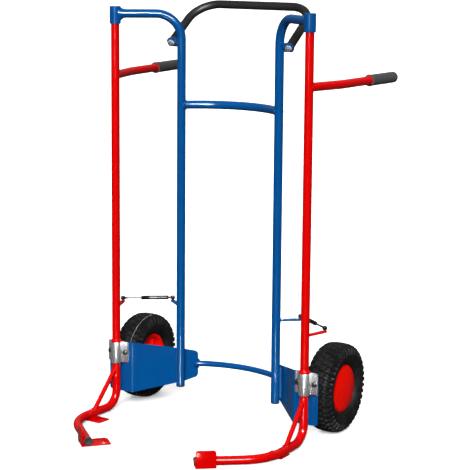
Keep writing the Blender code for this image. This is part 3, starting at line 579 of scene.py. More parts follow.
def add_crossbars(blue):
    radius, bow, z = CROSSBAR
    path = bow_path(*UPRIGHT, bow, z, 32)
    heads = {"left": (path[0], path[1]), "right": (path[-1], path[-2])}
    path = [path[0].lerp(path[1], 0.8), *path[1:-1], path[-1].lerp(path[-2], 0.8)]
    bar(blue, "upper_crossbar_skin", path, radius, "frame")
    for side, (head, following) in heads.items():
        centre = place(side, *UPRIGHT, 0)
        along = (following - head).normalized()
        line = saddle(centre, UP, FRAME_R, head, along, radius + 0.1 * MM)
        bead(blue, f"weld_crossbar_{side}", line, 2.6 * MM, "frame", True)
    radius, bow, z = LOWER_BAR
    end_x, end_y = LOWER_BAR_END
    path = bow_path(end_x, end_y, bow, z, 28)
    bar(blue, "lower_crossbar_skin", path, radius, "frame", 32)
    for side in SIDES:
        centre = place(side, end_x - 1 * MM, end_y, z)
        circle = arc(centre, BACK, UP, radius + 0.8 * MM, full_turn(40))
        bead(blue, f"weld_lower_bar_{side}", circle, 2.3 * MM, "frame", True)


def wing_direction():
    """The side plate's wing just touches the back of the upright."""
    dx, dy = UPRIGHT[0] - FOLD_X, UPRIGHT[1] - (FLANGE_Y + SHEET / 2)
    aside = math.asin((FRAME_R + 0.3 * MM + SHEET / 2) / math.hypot(dx, dy))
    angle = math.atan2(dy, dx) - aside
    return Vector((math.cos(angle), math.sin(angle)))


def corner_loss(distance, radius):
    if distance >= radius:
        return 0
    return radius - math.sqrt(max(0, radius**2 - (radius - distance) ** 2))


def wing_stations():
    """Along the folded sheet: plan point, plan normal, lower edge and upper edge."""
    wing = wing_direction()
    mid_y = FLANGE_Y + SHEET / 2
    turn = math.acos(-wing.x)
    fold_r = 6 * MM
    tangent = fold_r * math.tan(turn / 2)
    flange = PLATE_EDGE - FOLD_X - tangent
    round_r = 9 * MM
    stations = []
    steps = [round_r * (1 - math.cos(math.pi / 2 * k / 8)) for k in range(9)]
    low, high = WING_EDGES[0][1] * MM, WING_EDGES[0][2] * MM
    for d in [*steps, flange]:
        loss = corner_loss(d, round_r)
        plan = Vector((PLATE_EDGE - d, mid_y))
        stations.append((plan, Vector((0, 1)), low + loss, high - loss))
    centre = Vector((FOLD_X + tangent, mid_y + fold_r))
    for k in range(1, 9):
        a = turn * k / 9
        outward = Vector((-math.sin(a), -math.cos(a)))
        stations.append((centre + outward * fold_r, -outward, low, high))
    normal = Vector((wing.y, -wing.x))
    inner = [tangent + (160 * MM - tangent) * k / 12 for k in range(13)]
    ends = [WING_LENGTH - d for d in reversed(steps)]
    for s in inner + ends:
        below = max(i for i, e in enumerate(WING_EDGES[:-1]) if e[0] * MM <= s + 1e-9)
        (s0, lo0, hi0), (s1, lo1, hi1) = WING_EDGES[below], WING_EDGES[below + 1]
        t = (s / MM - s0) / (s1 - s0)
        loss = corner_loss(WING_LENGTH - s, round_r)
        z = [(lo0 + (lo1 - lo0) * t) * MM + loss, (hi0 + (hi1 - hi0) * t) * MM - loss]
        stations.append((Vector((FOLD_X, mid_y)) + wing * s, normal, *z))
    return stations


def add_side_plate(side, blue):
    bm = bmesh.new()
    rows = []
    chamfer = 0.35 * MM
    for plan, normal, low, high in wing_stations():
        half = normal * (SHEET / 2)
        inner = normal * (SHEET / 2 - chamfer)
        corners = (
            (plan - half, low + chamfer),
            (plan - half, high - chamfer),
            (plan - inner, high),
            (plan + inner, high),
            (plan + half, high - chamfer),
            (plan + half, low + chamfer),
            (plan + inner, low),
            (plan - inner, low),
        )
        rows.append([bm.verts.new(place(side, p.x, p.y, z)) for p, z in corners])
    loft(bm, rows)
    blue.piece(f"side_plate_skin_{side}", bm, "frame", 30)
    axle = place(side, 0, *WHEEL[1:])
    near, far = SLEEVE_X
    edge, bore, radius = 0.6 * MM, 10.3 * MM, 15 * MM
    profile = [(near, bore), (near, radius - edge), (near + edge, radius)]
    profile += [(far - edge, radius), (far, radius - edge), (far, bore)]
    lathe(blue, f"axle_sleeve_{side}", profile, axle, away(side), "frame")
    outline = metres([(19, 86), (170, 120), (170, 140), (19, 176)])
    bm = bmesh.new()
    start = place(side, RIB_X, 0, 0)
    prism(bm, outline, BACK, UP, away(side), start, 4 * MM, 0.5 * MM)
    blue.piece(f"axle_rib_{side}", bm, "frame")
    add_plate_welds(side, blue)


def add_plate_welds(side, blue):
    wing = wing_direction()
    normal = Vector((wing.y, -wing.x))
    fold = Vector((FOLD_X, FLANGE_Y + SHEET / 2))
    reach = (Vector(UPRIGHT) - fold).dot(wing)
    for name, shift, heights in (("outer", -10.5 * MM, (84, 180)), ("inner", 10.5 * MM, (86, 176))):
        p = fold + wing * (reach + shift) - normal * (SHEET / 2 + 1.0 * MM)
        gap = Vector(UPRIGHT) - p
        p += gap.normalized() * (0.6 * MM)
        line = [place(side, p.x, p.y, z * MM) for z in heights]
        bead(blue, f"weld_upright_{name}_{side}", line, 2.4 * MM, "frame")
    y = FLANGE_Y + SHEET + 1.2 * MM
    line = [place(side, RIB_X - 0.6 * MM, y, z * MM) for z in (90, 172)]
    bead(blue, f"weld_rib_{side}", line, 2.0 * MM, "frame")
    centre = place(side, RIB_X - 0.8 * MM, *WHEEL[1:])
    line = arc(centre, BACK, UP, 15.6 * MM, even_angles(math.pi / 2, math.pi, 24))
    bead(blue, f"weld_sleeve_{side}", line, 1.9 * MM, "frame")


def add_clamp(side, aluminium):
    """An extruded saddle: a half round with a flange and a shallow rib on each side."""
    back = FLANGE_Y - 0.3 * MM
    face = back - 6 * MM
    outer, bore, half, corner_r = 17.2 * MM, 14.4 * MM, 36 * MM, 11 * MM
    lip = math.asin((face - 1.5 * MM) / outer)
    edge = outer * math.cos(lip)
    right = [(half, back), (half, face + 0.8 * MM), (half - 0.8 * MM, face)]
    right += [(half - 3.5 * MM, face - 0.5 * MM), (half - 5 * MM, face)]
    right += [(edge + 4.2 * MM, face), (edge + 2.2 * MM, face - 0.7 * MM)]
    right += [(edge + 0.8 * MM, face - 0.2 * MM)]
    steps = 36
    outline = right + flat_arc(0, 0, outer, lip, -math.pi - 2 * lip, steps)
    outline += [(-a, b) for a, b in reversed(right)]
    outline += [(-bore, back), *flat_arc(0, 0, bore, -math.pi, math.pi, steps), (bore, back)]
    bm = bmesh.new()
    low, high = CLAMP_Z
    prism(bm, outline, Vector((1, 0, 0)), BACK, UP, place(side, PIVOT_X, 0, low), high - low)
    axis_x = SIDES[side] * PIVOT_X
    corners = []
    for e in bm.edges:
        a, b = (v.co for v in e.verts)
        at_end = all(abs(abs(v.x - axis_x) - half) < 1.2 * MM for v in (a, b))
        if at_end and abs(a.z - b.z) < 1e-6 and abs(a.y - b.y) > 2 * MM:
            corners.append(e)
    round_edges(bm, corners, corner_r, 8)
    sharp = [e for e in bm.edges if e.is_manifold and e.calc_face_angle(0) > math.radians(60)]
    round_edges(bm, sharp, 0.5 * MM)
    aluminium.piece(f"clamp_skin_{side}", bm, "frame")


def hex_bolt(finish, node, origin, along, head, flats, seat, shank):
    """A domed hex head, its washer down to the seat, and a shank of a radius and length."""
    flat = flats / 2
    profile = [
        (head - 0.3 * MM, 0),
        (head, flat * 0.72),
        (head, flat * 0.93),
        (head + 0.6 * MM, flat),
        (seat - 1.5 * MM, flat),
        (seat - 1.5 * MM, flat + 1.6 * MM),
        (seat - 1.2 * MM, flat + 2.1 * MM),
        (seat - 0.2 * MM, flat + 2.1 * MM),
        (seat, flat + 1.7 * MM),
        (seat, shank[0]),
        (shank[1], shank[0]),
        (shank[1], 0),
    ]
    lathe(finish, f"{node}_skin", profile, origin, along, "frame", 48, (3, 4))


def add_clamp_bolts(side, zinc):
    z = (CLAMP_Z[0] + CLAMP_Z[1]) / 2
    for where, shift in (("inner", -26.5 * MM), ("outer", 26.5 * MM)):
        origin = place(side, PIVOT_X + shift, 0, z)
        seat, shank = 10.2 * MM, (4 * MM, 36 * MM)
        node, head = f"clamp_bolt_{where}_{side}", seat - 7 * MM
        hex_bolt(zinc, node, origin, BACK, head, 13 * MM, seat, shank)
        nut = metres([(20.4, 4), (20.4, 6.2), (20.8, 6.5), (26.2, 6.5), (26.7, 6.1), (26.7, 4)])
        lathe(zinc, f"clamp_nut_{where}_{side}", nut, origin, BACK, "frame", 48, (2, 3))


def push_direction():
    return Vector((0, math.cos(PUSH_RISE), math.sin(PUSH_RISE)))


def add_lug(side, blue, zinc):
    rise, across = push_direction(), away(side)
    up = Vector((0, -rise.z, rise.y))
    centre = place(side, *LUG)
    reach, radius, thick = LUG.x - UPRIGHT[0], 15.5 * MM, 5 * MM
    foot = -reach + 9 * MM
    outline = flat_arc(0, 0, radius, -math.pi / 2, math.pi, 20)
    outline = [(foot, -radius), *outline, (foot, radius)]
    bm = bmesh.new()
    prism(bm, outline, across, up, rise, centre - rise * (thick / 2), thick, 0.6 * MM)
    blue.piece(f"handle_lug_skin_{side}", bm, "frame")
    root = centre - across * (reach - FRAME_R - 0.4 * MM)
    for name, lift in (("front", -thick / 2 - 0.8 * MM), ("back", thick / 2 + 0.8 * MM)):
        line = [root + rise * lift + up * (t * MM) for t in (-14, 0, 14)]
        bead(blue, f"weld_lug_{name}_{side}", line, 2.3 * MM, "frame")
    seat, shank = -(thick / 2 + 0.3 * MM), (5 * MM, 22 * MM)
    hex_bolt(zinc, f"handle_bolt_{side}", centre, rise, seat - 8.6 * MM, 17 * MM, seat, shank)


def add_push_handle(black):
    rise = push_direction()
    reach = (PUSH_Y - LUG.y) / rise.y
    left, right = (place(side, *LUG) for side in SIDES)
    face = rise * (2.8 * MM)
    corners = [left + face, left + rise * reach, right + rise * reach, right + face]
    path = rounded_path(corners, (PUSH_BEND, PUSH_BEND))
    bar(black, "push_handle_skin", path, PUSH_R, "frame")


def add_strut_link(side, kind, paint, body, root, tube_r):
    """A flat welded arm with a stud at its tip."""
    tip = place(side, *(STRUT_ARM if kind == "arm" else STRUT_FRAME)[:2], 0)
    level = Vector((root.x, root.y, 0))
    along = (tip - level).normalized()
    across = Vector((-along.y, along.x, 0))
    length = (tip - level).length
    half = 6 * MM
    foot = tube_r - 2 * MM
    outline = [(-half, foot), *flat_arc(0, length, half, math.pi, -math.pi, 12), (half, foot)]
    bm = bmesh.new()
    prism(bm, outline, across, along, UP, level + UP * LINK_Z, 6 * MM, 0.8 * MM)
    low, high, radius = LINK_Z + 0.5 * MM, LINK_Z + 8.4 * MM, 3.5 * MM
    turned(bm, [(low, 0), (low, radius), (high, radius), (high, 0)], tip, UP, 24)
    node = f"strut_link_{kind}_{side}"
    paint.piece(f"{node}_skin", bm, body)
    reach = math.radians(26)
    for name, z in (("low", LINK_Z - 0.4 * MM), ("high", LINK_Z + 6.4 * MM)):
        angles = even_angles(-reach, 2 * reach, 8)
        line = arc(level + UP * z, along, across, tube_r + 0.7 * MM, angles)
        bead(paint, f"weld_{node}_{name}", line, 1.5 * MM, body)


def add_strut(side, black, chrome):
    """A gas strut: cylinder and rod, and a socket with a neck at each end."""
    start, end = place(side, *STRUT_FRAME), place(side, *STRUT_ARM)
    along = (end - start).normalized()
    body, rod_body = f"cylinder_{side}", f"rod_{side}"
    outline = [(13.5, 0), (13.5, 4.6), (14.2, 5.6), (15.4, 6.1), (94, 6.1), (94.6, 5.7), (95, 5.2)]
    outline += [(96, 5), (96, 3.3), (90, 3.3), (90, 0)]
    lathe(black, f"strut_cylinder_skin_{side}", metres(outline), start, along, body, 40)
    rod = metres([(61, 0), (61, 2.5), (139, 2.5), (139, 0)])
    lathe(chrome, f"strut_rod_skin_{side}", rod, start, along, rod_body, 40)
    socket = [(-4.9, 0), (-4.9, 5.7), (-4, 6.8), (3, 6.8), (4.4, 6), (5.2, 4.4), (5.4, 0)]
    neck = [(4, 0), (4, 3.3), (13.9, 3.3), (13.9, 0)]
    for kind, ball, way, owner in (("frame", start, along, body), ("arm", end, -along, rod_body)):
        lathe(black, f"strut_socket_{kind}_{side}", metres(socket), ball, UP, owner, 32)
        lathe(black, f"strut_neck_{kind}_{side}", metres(neck), ball, way, owner, 24)


# Wheels

TYRE_PROFILE = (
    (22.8, 62), (23.6, 66.8), (25.2, 69), (28.6, 70.4), (33.6, 75.2), (38.4, 82.6),
    (41.4, 91), (42.5, 100), (41.9, 107.5), (40.2, 113.6), (38, 118.6), (35.6, 122.2),
    (32.4, 125), (27, 127.4), (20, 129), (12, 129.8), (5, 130), (0, 130),
)  # mm from the middle, and radius
TREAD_R = 100  # mm; the tread starts here
PITCH = 40  # tread blocks round the tyre
STEPS = 14  # mesh columns per block
GROOVE = 7.5  # mm deep
BLOCK_EDGE = 0.085  # width of a block's slope, in blocks
ZIGZAG = 1.6  # mm that the long grooves wander
MIDDLE_ROW, OUTER_ROW = 20.5, 32.5  # mm from the middle to the long grooves
SHOULDER_GAP, CENTRE_GAP = 0.23, 0.10  # half the gaps between blocks, in blocks
SHOULDER_LEAN, CENTRE_LEAN = 0.016, 0.012  # blocks for each mm from the middle
SIDE_RINGS = ((0.7, 105.5, 0.9), (0.9, 78, 1.1))  # height, radius and width, mm
# A thin ridge on the left tyre's inner shoulder, coloured pale grey as a painted highlight.
HIGHLIGHT_RIDGE = (20.5 * MM, 127.6 * MM)  # from the middle, and radius


def smooth_step(low, high, value):
    t = min(1.0, max(0.0, (value - low) / (high - low)))
    return t * t * (3 - 2 * t)


def half_profile():
    """The tyre's section resampled at about 1.5 mm, as (x, r, nx, nr) in mm."""
    points = [Vector((x, r, 0)) for x, r in TYRE_PROFILE]
    rounded = []
    for i in range(len(points) - 1):
        p0, p1 = points[max(0, i - 1)], points[i]
        p2, p3 = points[i + 1], points[min(len(points) - 1, i + 2)]
        square, cube = 2 * p0 - 5 * p1 + 4 * p2 - p3, 3 * p1 - p0 - 3 * p2 + p3
        for k in range(8):
            t = k / 8
            rounded.append(0.5 * (2 * p1 + (p2 - p0) * t + square * t**2 + cube * t**3))
    rounded.append(points[-1])
    even = resample(rounded, 1.55, False)
    section = []
    for i, p in enumerate(even):
        tangent = (even[min(i + 1, len(even) - 1)] - even[max(i - 1, 0)]).normalized()
        normal = Vector((-tangent.y, tangent.x, 0))
        if normal.y < 0 and p.y > TREAD_R or normal.x < 0 and p.y < TREAD_R:
            normal = -normal
        section.append((p.x, p.y, normal.x, normal.y))
    return section


def gap(phase, half):
    """0 in the gap between two blocks of a row and 1 on them."""
    return smooth_step(half - BLOCK_EDGE / 2, half + BLOCK_EDGE / 2, abs(phase % 1 - 0.5))


def block_height(x, r, phase):
    """1 on a tread block and 0 in a groove; phase is in blocks round the tyre."""
    if r < TREAD_R:
        return 1.0
    ax = abs(x)
    own = phase + (0.5 if x > 0 else 0.0)
    zig = ZIGZAG * math.cos(2 * math.pi * own)
    shoulder = gap(own + 0.5 - SHOULDER_LEAN * (ax - 30), SHOULDER_GAP)
    shoulder_cut = 1 - (1 - shoulder) * smooth_step(21, 23, ax)
    middle = gap(own - CENTRE_LEAN * ax, CENTRE_GAP)
    middle_cut = 1 - (1 - middle) * (1 - smooth_step(19.5, 21.5, ax)) * smooth_step(1.0, 2.6, ax)
    row = 1 - (1 - smooth_step(0.8, 2.0, abs(ax - MIDDLE_ROW - zig))) * 0.95
    centre = smooth_step(0.7, 1.9, abs(x - 1.4 * math.cos(2 * math.pi * phase)))
    shallow = 1 - 0.75 * (1 - min(middle_cut, row, centre))
    outer_row = 1 - 0.6 * (1 - smooth_step(0.9, 2.2, abs(ax - OUTER_ROW + zig)))
    fade = smooth_step(TREAD_R, TREAD_R + 8, r)
    return 1 - (1 - min(shoulder_cut, shallow, outer_row)) * fade


def add_tyre(side, rubber, highlight_paint):
    """The section turned round the axle, with grooves sunk into it and rings raised."""
    half = half_profile()
    section = half[:-1] + [(-x, r, -nx, nr) for x, r, nx, nr in reversed(half)]
    hub = place(side, *WHEEL)
    columns = PITCH * STEPS
    bm = bmesh.new()
    rings = []
    for c in range(columns):
        phase = c / STEPS
        angle = 2 * math.pi * c / columns
        spoke = Vector((0, math.cos(angle), math.sin(angle)))
        ring = []
        for x, r, nx, nr in section:
            ridge = sum(h * math.exp(-(((r - at) / wide) ** 2)) for h, at, wide in SIDE_RINGS)
            ridge *= smooth_step(60, 70, r) * (1 if abs(x) > 30 else 0)
            out = min(ridge, 0.5) - GROOVE * (1 - block_height(x, r, phase))
            xx, rr = x + nx * out, min(r + nr * out, WHEEL[2] / MM)
            centre = hub + Vector((SIDES[side] * xx * MM, 0, 0))
            ring.append(bm.verts.new(centre + spoke * (rr * MM)))
        rings.append(ring)
    for a, b in zip(rings, rings[1:] + rings[:1]):
        bridge(bm, a, b)
    rubber.piece(f"tyre_skin_{side}", bm, f"wheel_{side}", 32)
    # Only the left tyre gets the pale ring that paints a highlight along its inner shoulder.
    if side == "left":
        add_highlight_ridge(side, highlight_paint, hub)


def add_highlight_ridge(side, highlight_paint, hub):
    """A thin raised ring on the tyre's inner shoulder, coloured pale grey as a painted highlight
    along the tread edge.
    """
    inwards, radius = HIGHLIGHT_RIDGE
    path = arc(hub - away(side) * inwards, BACK, UP, radius, full_turn(180))
    bm = bmesh.new()
    swept(bm, path, 0.8 * MM, 8, closed=True)
    highlight_paint.piece(f"tyre_mould_line_{side}", bm, f"wheel_{side}")


def add_rim(side, red, zinc):
    """The rim with its ribs, the cap on its outer side and the sleeve it runs on."""
    hub, outward, body = place(side, *WHEEL), away(side), f"wheel_{side}"
    outline = (
        (-38, 15.9), (-38, 23), (-37.4, 23.8), (-16, 26.6), (-13.6, 28.4), (-12.6, 31),
        (-12.8, 47), (-13.8, 51), (-17, 54), (-22, 56), (-25.6, 59.4), (-27, 63),
        (-27.4, 67), (-26.6, 68.6), (-25, 68.8), (-24.2, 67), (-23.8, 60), (23.8, 60),
        (24.2, 67), (25, 68.8), (26.6, 68.6), (27.2, 66), (26.4, 60), (22, 56),
        (-6, 53), (-4, 30), (14, 25), (14, 15.9),
    )
    lathe(red, f"rim_skin_{side}", metres(outline), hub, outward, body, 96)
    ribs, thick = 8, 3.2 * MM
    for k in range(ribs):
        angle = 2 * math.pi * (k + 0.5) / ribs
        spoke = Vector((0, math.cos(angle), math.sin(angle)))
        tangent = Vector((0, -math.sin(angle), math.cos(angle)))
        outline = metres([(24, -30), (24, -11), (53, -11), (53, -17)])
        bm = bmesh.new()
        start = hub - tangent * (thick / 2)
        prism(bm, outline, spoke, outward, tangent, start, thick, 0.6 * MM)
        red.piece(f"rim_rib_{k}_{side}", bm, body)
    cap = [(27.3, 61), (27.3, 66.4), (27.9, 67.0), (28.8, 66.8), (29.6, 65.6)]
    dome_x, dome_r, dome_rise = 29.6, 65.6, 6.4
    for k in range(1, 15):
        share = 1 - k / 15
        cap.append((dome_x + dome_rise * (1 - share**2.2), dome_r * share))
    cap += [(36, 0), (33.6, 0), (32, 30), (29.6, 52), (28.4, 60)]
    lathe(red, f"hub_cap_skin_{side}", metres(cap), hub, outward, body, 96)
    sleeve = metres([(-37.6, 10.4), (-37.6, 15.2), (-37.1, 15.7), (13.4, 15.7), (13.4, 10.4)])
    lathe(zinc, f"wheel_bearing_skin_{side}", sleeve, hub, outward, body, 48)


def add_axle(side, zinc):
    origin = place(side, 0, *WHEEL[1:])
    head = [(345.3, 10), (345.3, 14.5), (351, 14.5), (352.2, 13), (352.2, 0)]
    profile = metres([(137, 0), (137, 9), (138, 10), *head])
    lathe(zinc, f"axle_skin_{side}", profile, origin, away(side), "frame", 40)


# Materials


def new_material(name):
    mat = bpy.data.materials.new(name)
    mat.use_nodes = True
    return mat, mat.node_tree, mat.node_tree.nodes["Principled BSDF"]


def wire(tree, node, values):
    """Sets inputs of a node, each to a value or to another node's output."""
    for key, value in values.items():
        if isinstance(value, bpy.types.NodeSocket):
            tree.links.new(value, node.inputs[key])
        else:
            node.inputs[key].default_value = value


def add_noise(tree, scale, detail=3.0, stretch=None):
    source = tree.nodes.new("ShaderNodeTexCoord").outputs["Object"]
    if stretch:
        mapping = tree.nodes.new("ShaderNodeMapping")
        wire(tree, mapping, {"Scale": stretch, "Vector": source})
        source = mapping.outputs["Vector"]
    node = tree.nodes.new("ShaderNodeTexNoise")
    wire(tree, node, {"Scale": scale, "Detail": detail, "Vector": source})
    return node.outputs["Fac"]


def mapped(tree, source, low, high, start=0.3, end=0.7):
    node = tree.nodes.new("ShaderNodeMapRange")
    wire(tree, node, {"From Min": start, "From Max": end, "To Min": low, "To Max": high})
    wire(tree, node, {"Value": source})
    return node.outputs["Result"]


def mixed(tree, factor, first, second):
    node = tree.nodes.new("ShaderNodeMix")
    node.data_type = "RGBA"
    wire(tree, node, {0: factor, 6: (*first, 1), 7: (*second, 1)})
    return node.outputs[2]


def add_bump(tree, shader, source, strength, distance, normal=None):
    node = tree.nodes.new("ShaderNodeBump")
    wire(tree, node, {"Strength": strength, "Distance": distance, "Height": source})
    if normal:
        wire(tree, node, {"Normal": normal})
    wire(tree, shader, {"Normal": node.outputs["Normal"]})
    return node.outputs["Normal"]


def scaled(rgb, factor):
    return tuple(min(1, c * factor) for c in rgb)


def surface(tree, shader, colour, roughness, specular=0.5):
    values = {"Base Color": colour, "Roughness": roughness, "Specular IOR Level": specular}
    wire(tree, shader, values)


def powder_coat(slot, name, rgb, roughness, specular, tint=(1, 1, 1), coat=0.0):
    """Powder coat: a fine orange peel, slight cloudiness, uneven gloss and a clear coat."""
    mat, tree, shader = new_material(name)
    cloud = mapped(tree, add_noise(tree, 22, 4), 0, 1)
    colour = mixed(tree, cloud, scaled(rgb, 0.94), scaled(rgb, 1.04))
    gloss = mapped(tree, add_noise(tree, 60, 5), roughness - 0.03, roughness + 0.05)
    surface(tree, shader, colour, gloss, specular)
    wire(tree, shader, {"Specular Tint": (*tint, 1), "Coat Weight": coat, "Coat Roughness": 0.03})
    add_bump(tree, shader, add_noise(tree, 600, 2), 0.05, 0.0004)
    return Finish(slot, mat)


def tyre_rubber():
    mat, tree, shader = new_material("tyre_rubber_moulded")
    dust = mapped(tree, add_noise(tree, 45, 6), 0, 1, 0.4, 0.75)
    colour = mixed(tree, dust, (0.0045, 0.0045, 0.0045), (0.013, 0.013, 0.0125))
    surface(tree, shader, colour, mapped(tree, add_noise(tree, 160, 3), 0.42, 0.7), 0.04)
    fine = add_bump(tree, shader, add_noise(tree, 1500, 3), 0.25, 0.0004)
    add_bump(tree, shader, add_noise(tree, 220, 3), 0.45, 0.0012, fine)
    return Finish("tyre_rubber", mat)


def grip_foam():
    mat, tree, shader = new_material("grip_foam_rubber")
    speck = mapped(tree, add_noise(tree, 520, 4), 0, 1)
    colour = mixed(tree, speck, (0.026, 0.029, 0.029), (0.050, 0.053, 0.053))
    surface(tree, shader, colour, 0.85, 0.1)
    add_bump(tree, shader, add_noise(tree, 1100, 4), 0.5, 0.0006)
    return Finish("grip_rubber", mat)


def moulded_plastic(slot, name, rgb, roughness):
    mat, tree, shader = new_material(name)
    cloud = mapped(tree, add_noise(tree, 90, 3), 0, 1)
    colour = mixed(tree, cloud, scaled(rgb, 0.88), scaled(rgb, 1.12))
    gloss = mapped(tree, add_noise(tree, 300, 3), roughness - 0.06, roughness + 0.06)
    surface(tree, shader, colour, gloss, 0.1)
    add_bump(tree, shader, add_noise(tree, 1800, 2), 0.15, 0.0003)
    return Finish(slot, mat)


def brushed_metal(slot, name, rgb, roughness, stretch, strength):
    """Bare metal with fine drawn lines."""
    mat, tree, shader = new_material(name)
    lines = add_noise(tree, 1.0, 6, stretch)
    colour = mixed(tree, mapped(tree, lines, 0, 1), scaled(rgb, 0.78), scaled(rgb, 1.08))
    surface(tree, shader, colour, mapped(tree, lines, roughness - 0.07, roughness + 0.1))
    wire(tree, shader, {"Metallic": 0.8})
    add_bump(tree, shader, lines, strength, 0.0003)
    return Finish(slot, mat)


def paint_node(finish, *nodes):
    for name in nodes:
        obj = frame["nodes"][name]
        obj.data.materials.clear()
        obj.data.materials.append(finish.material)


# Stage, light and camera


def add_floor():
    bpy.ops.mesh.primitive_plane_add(size=240)
    floor = bpy.context.object
    floor.name = "studio_floor"
    mat, tree, shader = new_material("studio_floor_paper")
    shade = mapped(tree, add_noise(tree, 0.7, 2), 0, 1)
    colour = mixed(tree, shade, (0.90, 0.90, 0.90), (0.92, 0.92, 0.92))
    surface(tree, shader, colour, 0.95, 0.0)
    wire(tree, shader, {"Emission Color": (1, 1, 1, 1), "Emission Strength": 0.25})
    floor.data.materials.append(mat)
    floor.visible_diffuse = floor.visible_glossy = floor.visible_shadow = False


def add_world():
    """Bright overhead, dark round the sides, and white wherever the camera sees it."""
    world = bpy.data.worlds.new("studio")
    bpy.context.scene.world = world
    world.use_nodes = True
    tree = world.node_tree
    coords = tree.nodes.new("ShaderNodeTexCoord")
    dot = tree.nodes.new("ShaderNodeVectorMath")
    dot.operation = "DOT_PRODUCT"
    wire(tree, dot, {0: coords.outputs["Generated"], 1: (-0.1, -0.1, 0.99)})
    level = mapped(tree, dot.outputs["Value"], 0.10, 0.45, 0.0, 0.8)
    path = tree.nodes.new("ShaderNodeLightPath")
    seen = tree.nodes.new("ShaderNodeMath")
    seen.operation = "MAXIMUM"
    wire(tree, seen, {0: level, 1: path.outputs["Is Camera Ray"]})
    background = {"Strength": seen.outputs[0], "Color": (1, 1, 1, 1)}
    wire(tree, tree.nodes["Background"], background)


def add_lamp(name, kind, power, toward):
    """A lamp that shines along a direction."""
    data = bpy.data.lights.new(name, kind)
    data.energy = power
    lamp = bpy.data.objects.new(name, data)
    bpy.context.scene.collection.objects.link(lamp)
    lamp.rotation_euler = toward.to_track_quat("-Z", "Y").to_euler()
    return lamp


def add_glint(name, spot, target, size, power):
    """A lamp that only shows as a highlight."""
    lamp = add_lamp(name, "AREA", power, Vector(target) - Vector(spot))
    lamp.location = spot
    lamp.data.shape = "RECTANGLE"
    lamp.data.size, lamp.data.size_y = size
    lamp.visible_diffuse = lamp.visible_camera = False


def add_sun(name, azimuth, elevation, power, angle):
    """Degrees; azimuth 0 shines from the front and 90 from the right."""
    azimuth, elevation = math.radians(azimuth), math.radians(elevation)
    source = Vector((math.sin(azimuth), -math.cos(azimuth), math.tan(elevation)))
    lamp = add_lamp(name, "SUN", power, -source)
    lamp.data.angle = math.radians(angle)
    return lamp


def add_lights():
    """A broad key, three highlights, and a fill from behind that makes no highlight."""
    add_sun("key", 27, 30, 5.7, 24)
    add_glint("glint_bar", (3.2, -4.1, 2.9), (0, 0, 0.9), (4.0, 0.25), 2600)
    add_glint("glint_strip", (1.1, -3.9, 1.5), (0, 0, 0.9), (0.2, 1.6), 60)
    add_glint("glint_low", (1.7, -3.95, -1.15), (0, 0, 0.2), (0.12, 0.5), 80)
    add_sun("back_fill", 210, 35, 2.6, 40).visible_glossy = False


def add_camera():
    azimuth, elevation, roll = (math.radians(a) for a in (30.4, 9.15, -0.5))
    distance = 4.4109
    target = Vector((0.0891, PIVOT_Y, 0.7244))
    level_ahead = Vector((-math.sin(azimuth), math.cos(azimuth), 0))
    ahead = level_ahead * math.cos(elevation) - UP * math.sin(elevation)
    level = Vector((math.cos(azimuth), math.sin(azimuth), 0))
    down = ahead.cross(level)
    right = level * math.cos(roll) + down * math.sin(roll)
    down = down * math.cos(roll) - level * math.sin(roll)
    data = bpy.data.cameras.new("photo_view")
    data.sensor_width = 36
    data.lens = 119.6
    data.shift_y = -0.106383
    data.clip_end = 500
    camera = bpy.data.objects.new("photo_view", data)
    bpy.context.scene.collection.objects.link(camera)
    basis = Matrix((right, -down, -ahead)).transposed()
    camera.matrix_world = Matrix.Translation(target - ahead * distance) @ basis.to_4x4()
    bpy.context.scene.camera = camera


with open("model.json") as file:
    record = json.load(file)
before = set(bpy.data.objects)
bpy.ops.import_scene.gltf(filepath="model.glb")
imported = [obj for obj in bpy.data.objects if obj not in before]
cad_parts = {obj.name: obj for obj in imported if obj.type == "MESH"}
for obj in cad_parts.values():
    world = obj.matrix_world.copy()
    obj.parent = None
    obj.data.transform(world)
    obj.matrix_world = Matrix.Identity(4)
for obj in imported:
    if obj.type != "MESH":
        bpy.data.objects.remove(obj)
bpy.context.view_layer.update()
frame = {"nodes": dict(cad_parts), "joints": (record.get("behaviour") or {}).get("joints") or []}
PIVOT_Y = next(j["pos_m"][1] for j in frame["joints"] if j["name"] == "arm_pivot_right")

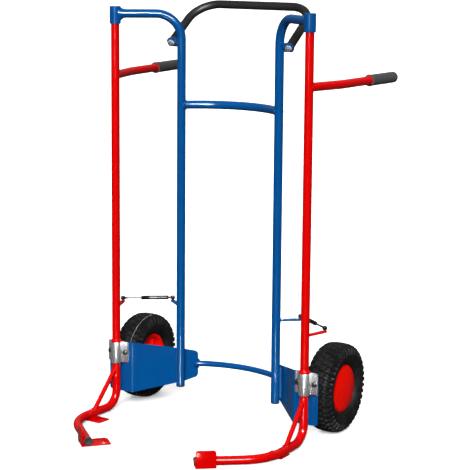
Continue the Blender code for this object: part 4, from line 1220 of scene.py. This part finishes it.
RED, RED_TINT = (0.46, 0.0002, 0.0001), (1, 0.75, 0.75)
BLUE, BLUE_TINT = (0.0002, 0.050, 0.185), (0.7, 0.95, 1)
# The rim and cap red is partly the plastic's own red and partly painted light: it is brightened to
# make up for the key lamp's glancing angle on the cap.
CAP, CAP_TINT = (0.70, 0.0030, 0.0006), (1, 0.6, 0.5)
red = powder_coat("red_paint", "red_powder_coat", RED, 0.13, 0.12, RED_TINT, 0.07)
cap_red = powder_coat("red_paint", "red_hub_plastic", CAP, 0.3, 0.05, CAP_TINT)
blue = powder_coat("blue_paint", "blue_powder_coat", BLUE, 0.13, 0.12, BLUE_TINT, 0.13)
black = powder_coat("black_paint", "black_powder_coat", (0.010, 0.010, 0.010), 0.42, 0.12)
strut_black = powder_coat("black_paint", "black_strut_paint", (0.003, 0.003, 0.003), 0.1, 0.2)
rubber = tyre_rubber()
# Pale grey for the shoulder ridge: a painted highlight, not the rubber's own colour.
highlight_paint = moulded_plastic("tyre_rubber", "tyre_painted_highlight", (0.22, 0.22, 0.21), 0.5)
foam = grip_foam()
plug = moulded_plastic("plug_plastic", "plug_moulding", (0.018, 0.021, 0.021), 0.5)
nylon = moulded_plastic("bush_nylon", "bush_moulding", (0.09, 0.09, 0.09), 0.45)
ALLOY, LINES = (0.44, 0.445, 0.45), (900, 900, 25)
ZINC, DARK_ZINC, GRAIN = (0.62, 0.62, 0.60), (0.07, 0.07, 0.068), (420, 420, 420)
CHROME, GROUND = (0.035, 0.035, 0.038), (300, 300, 900)
aluminium = brushed_metal("clamp_aluminium", "extruded_aluminium", ALLOY, 0.24, LINES, 0.03)
zinc = brushed_metal("zinc_steel", "zinc_plate", ZINC, 0.22, GRAIN, 0.05)
dark_zinc = brushed_metal("zinc_steel", "zinc_bolt_plate", DARK_ZINC, 0.2, GRAIN, 0.05)
chrome = brushed_metal("rod_chrome", "ground_chrome", CHROME, 0.3, GROUND, 0.04)

for side in SIDES:
    add_arm(side, red)
    add_grip(side, foam)
    add_toe_plug(side, plug)
    add_frame_tube(side, blue)
    add_end_plug(side, plug)
    add_side_plate(side, blue)
    add_clamp(side, aluminium)
    add_clamp_bolts(side, dark_zinc)
    add_lug(side, blue, zinc)
    add_strut_link(side, "frame", blue, "frame", place(side, *UPRIGHT, 0), FRAME_R)
    add_strut(side, strut_black, chrome)
    add_tyre(side, rubber, highlight_paint)
    add_rim(side, cap_red, zinc)
    add_axle(side, zinc)
    paint_node(nylon, f"collar_bush_{side}", f"clamp_bush_{side}")
add_crossbars(blue)
add_push_handle(black)
add_floor()
add_world()
add_lights()
add_camera()
bpy.context.scene.view_settings.view_transform = "Standard"
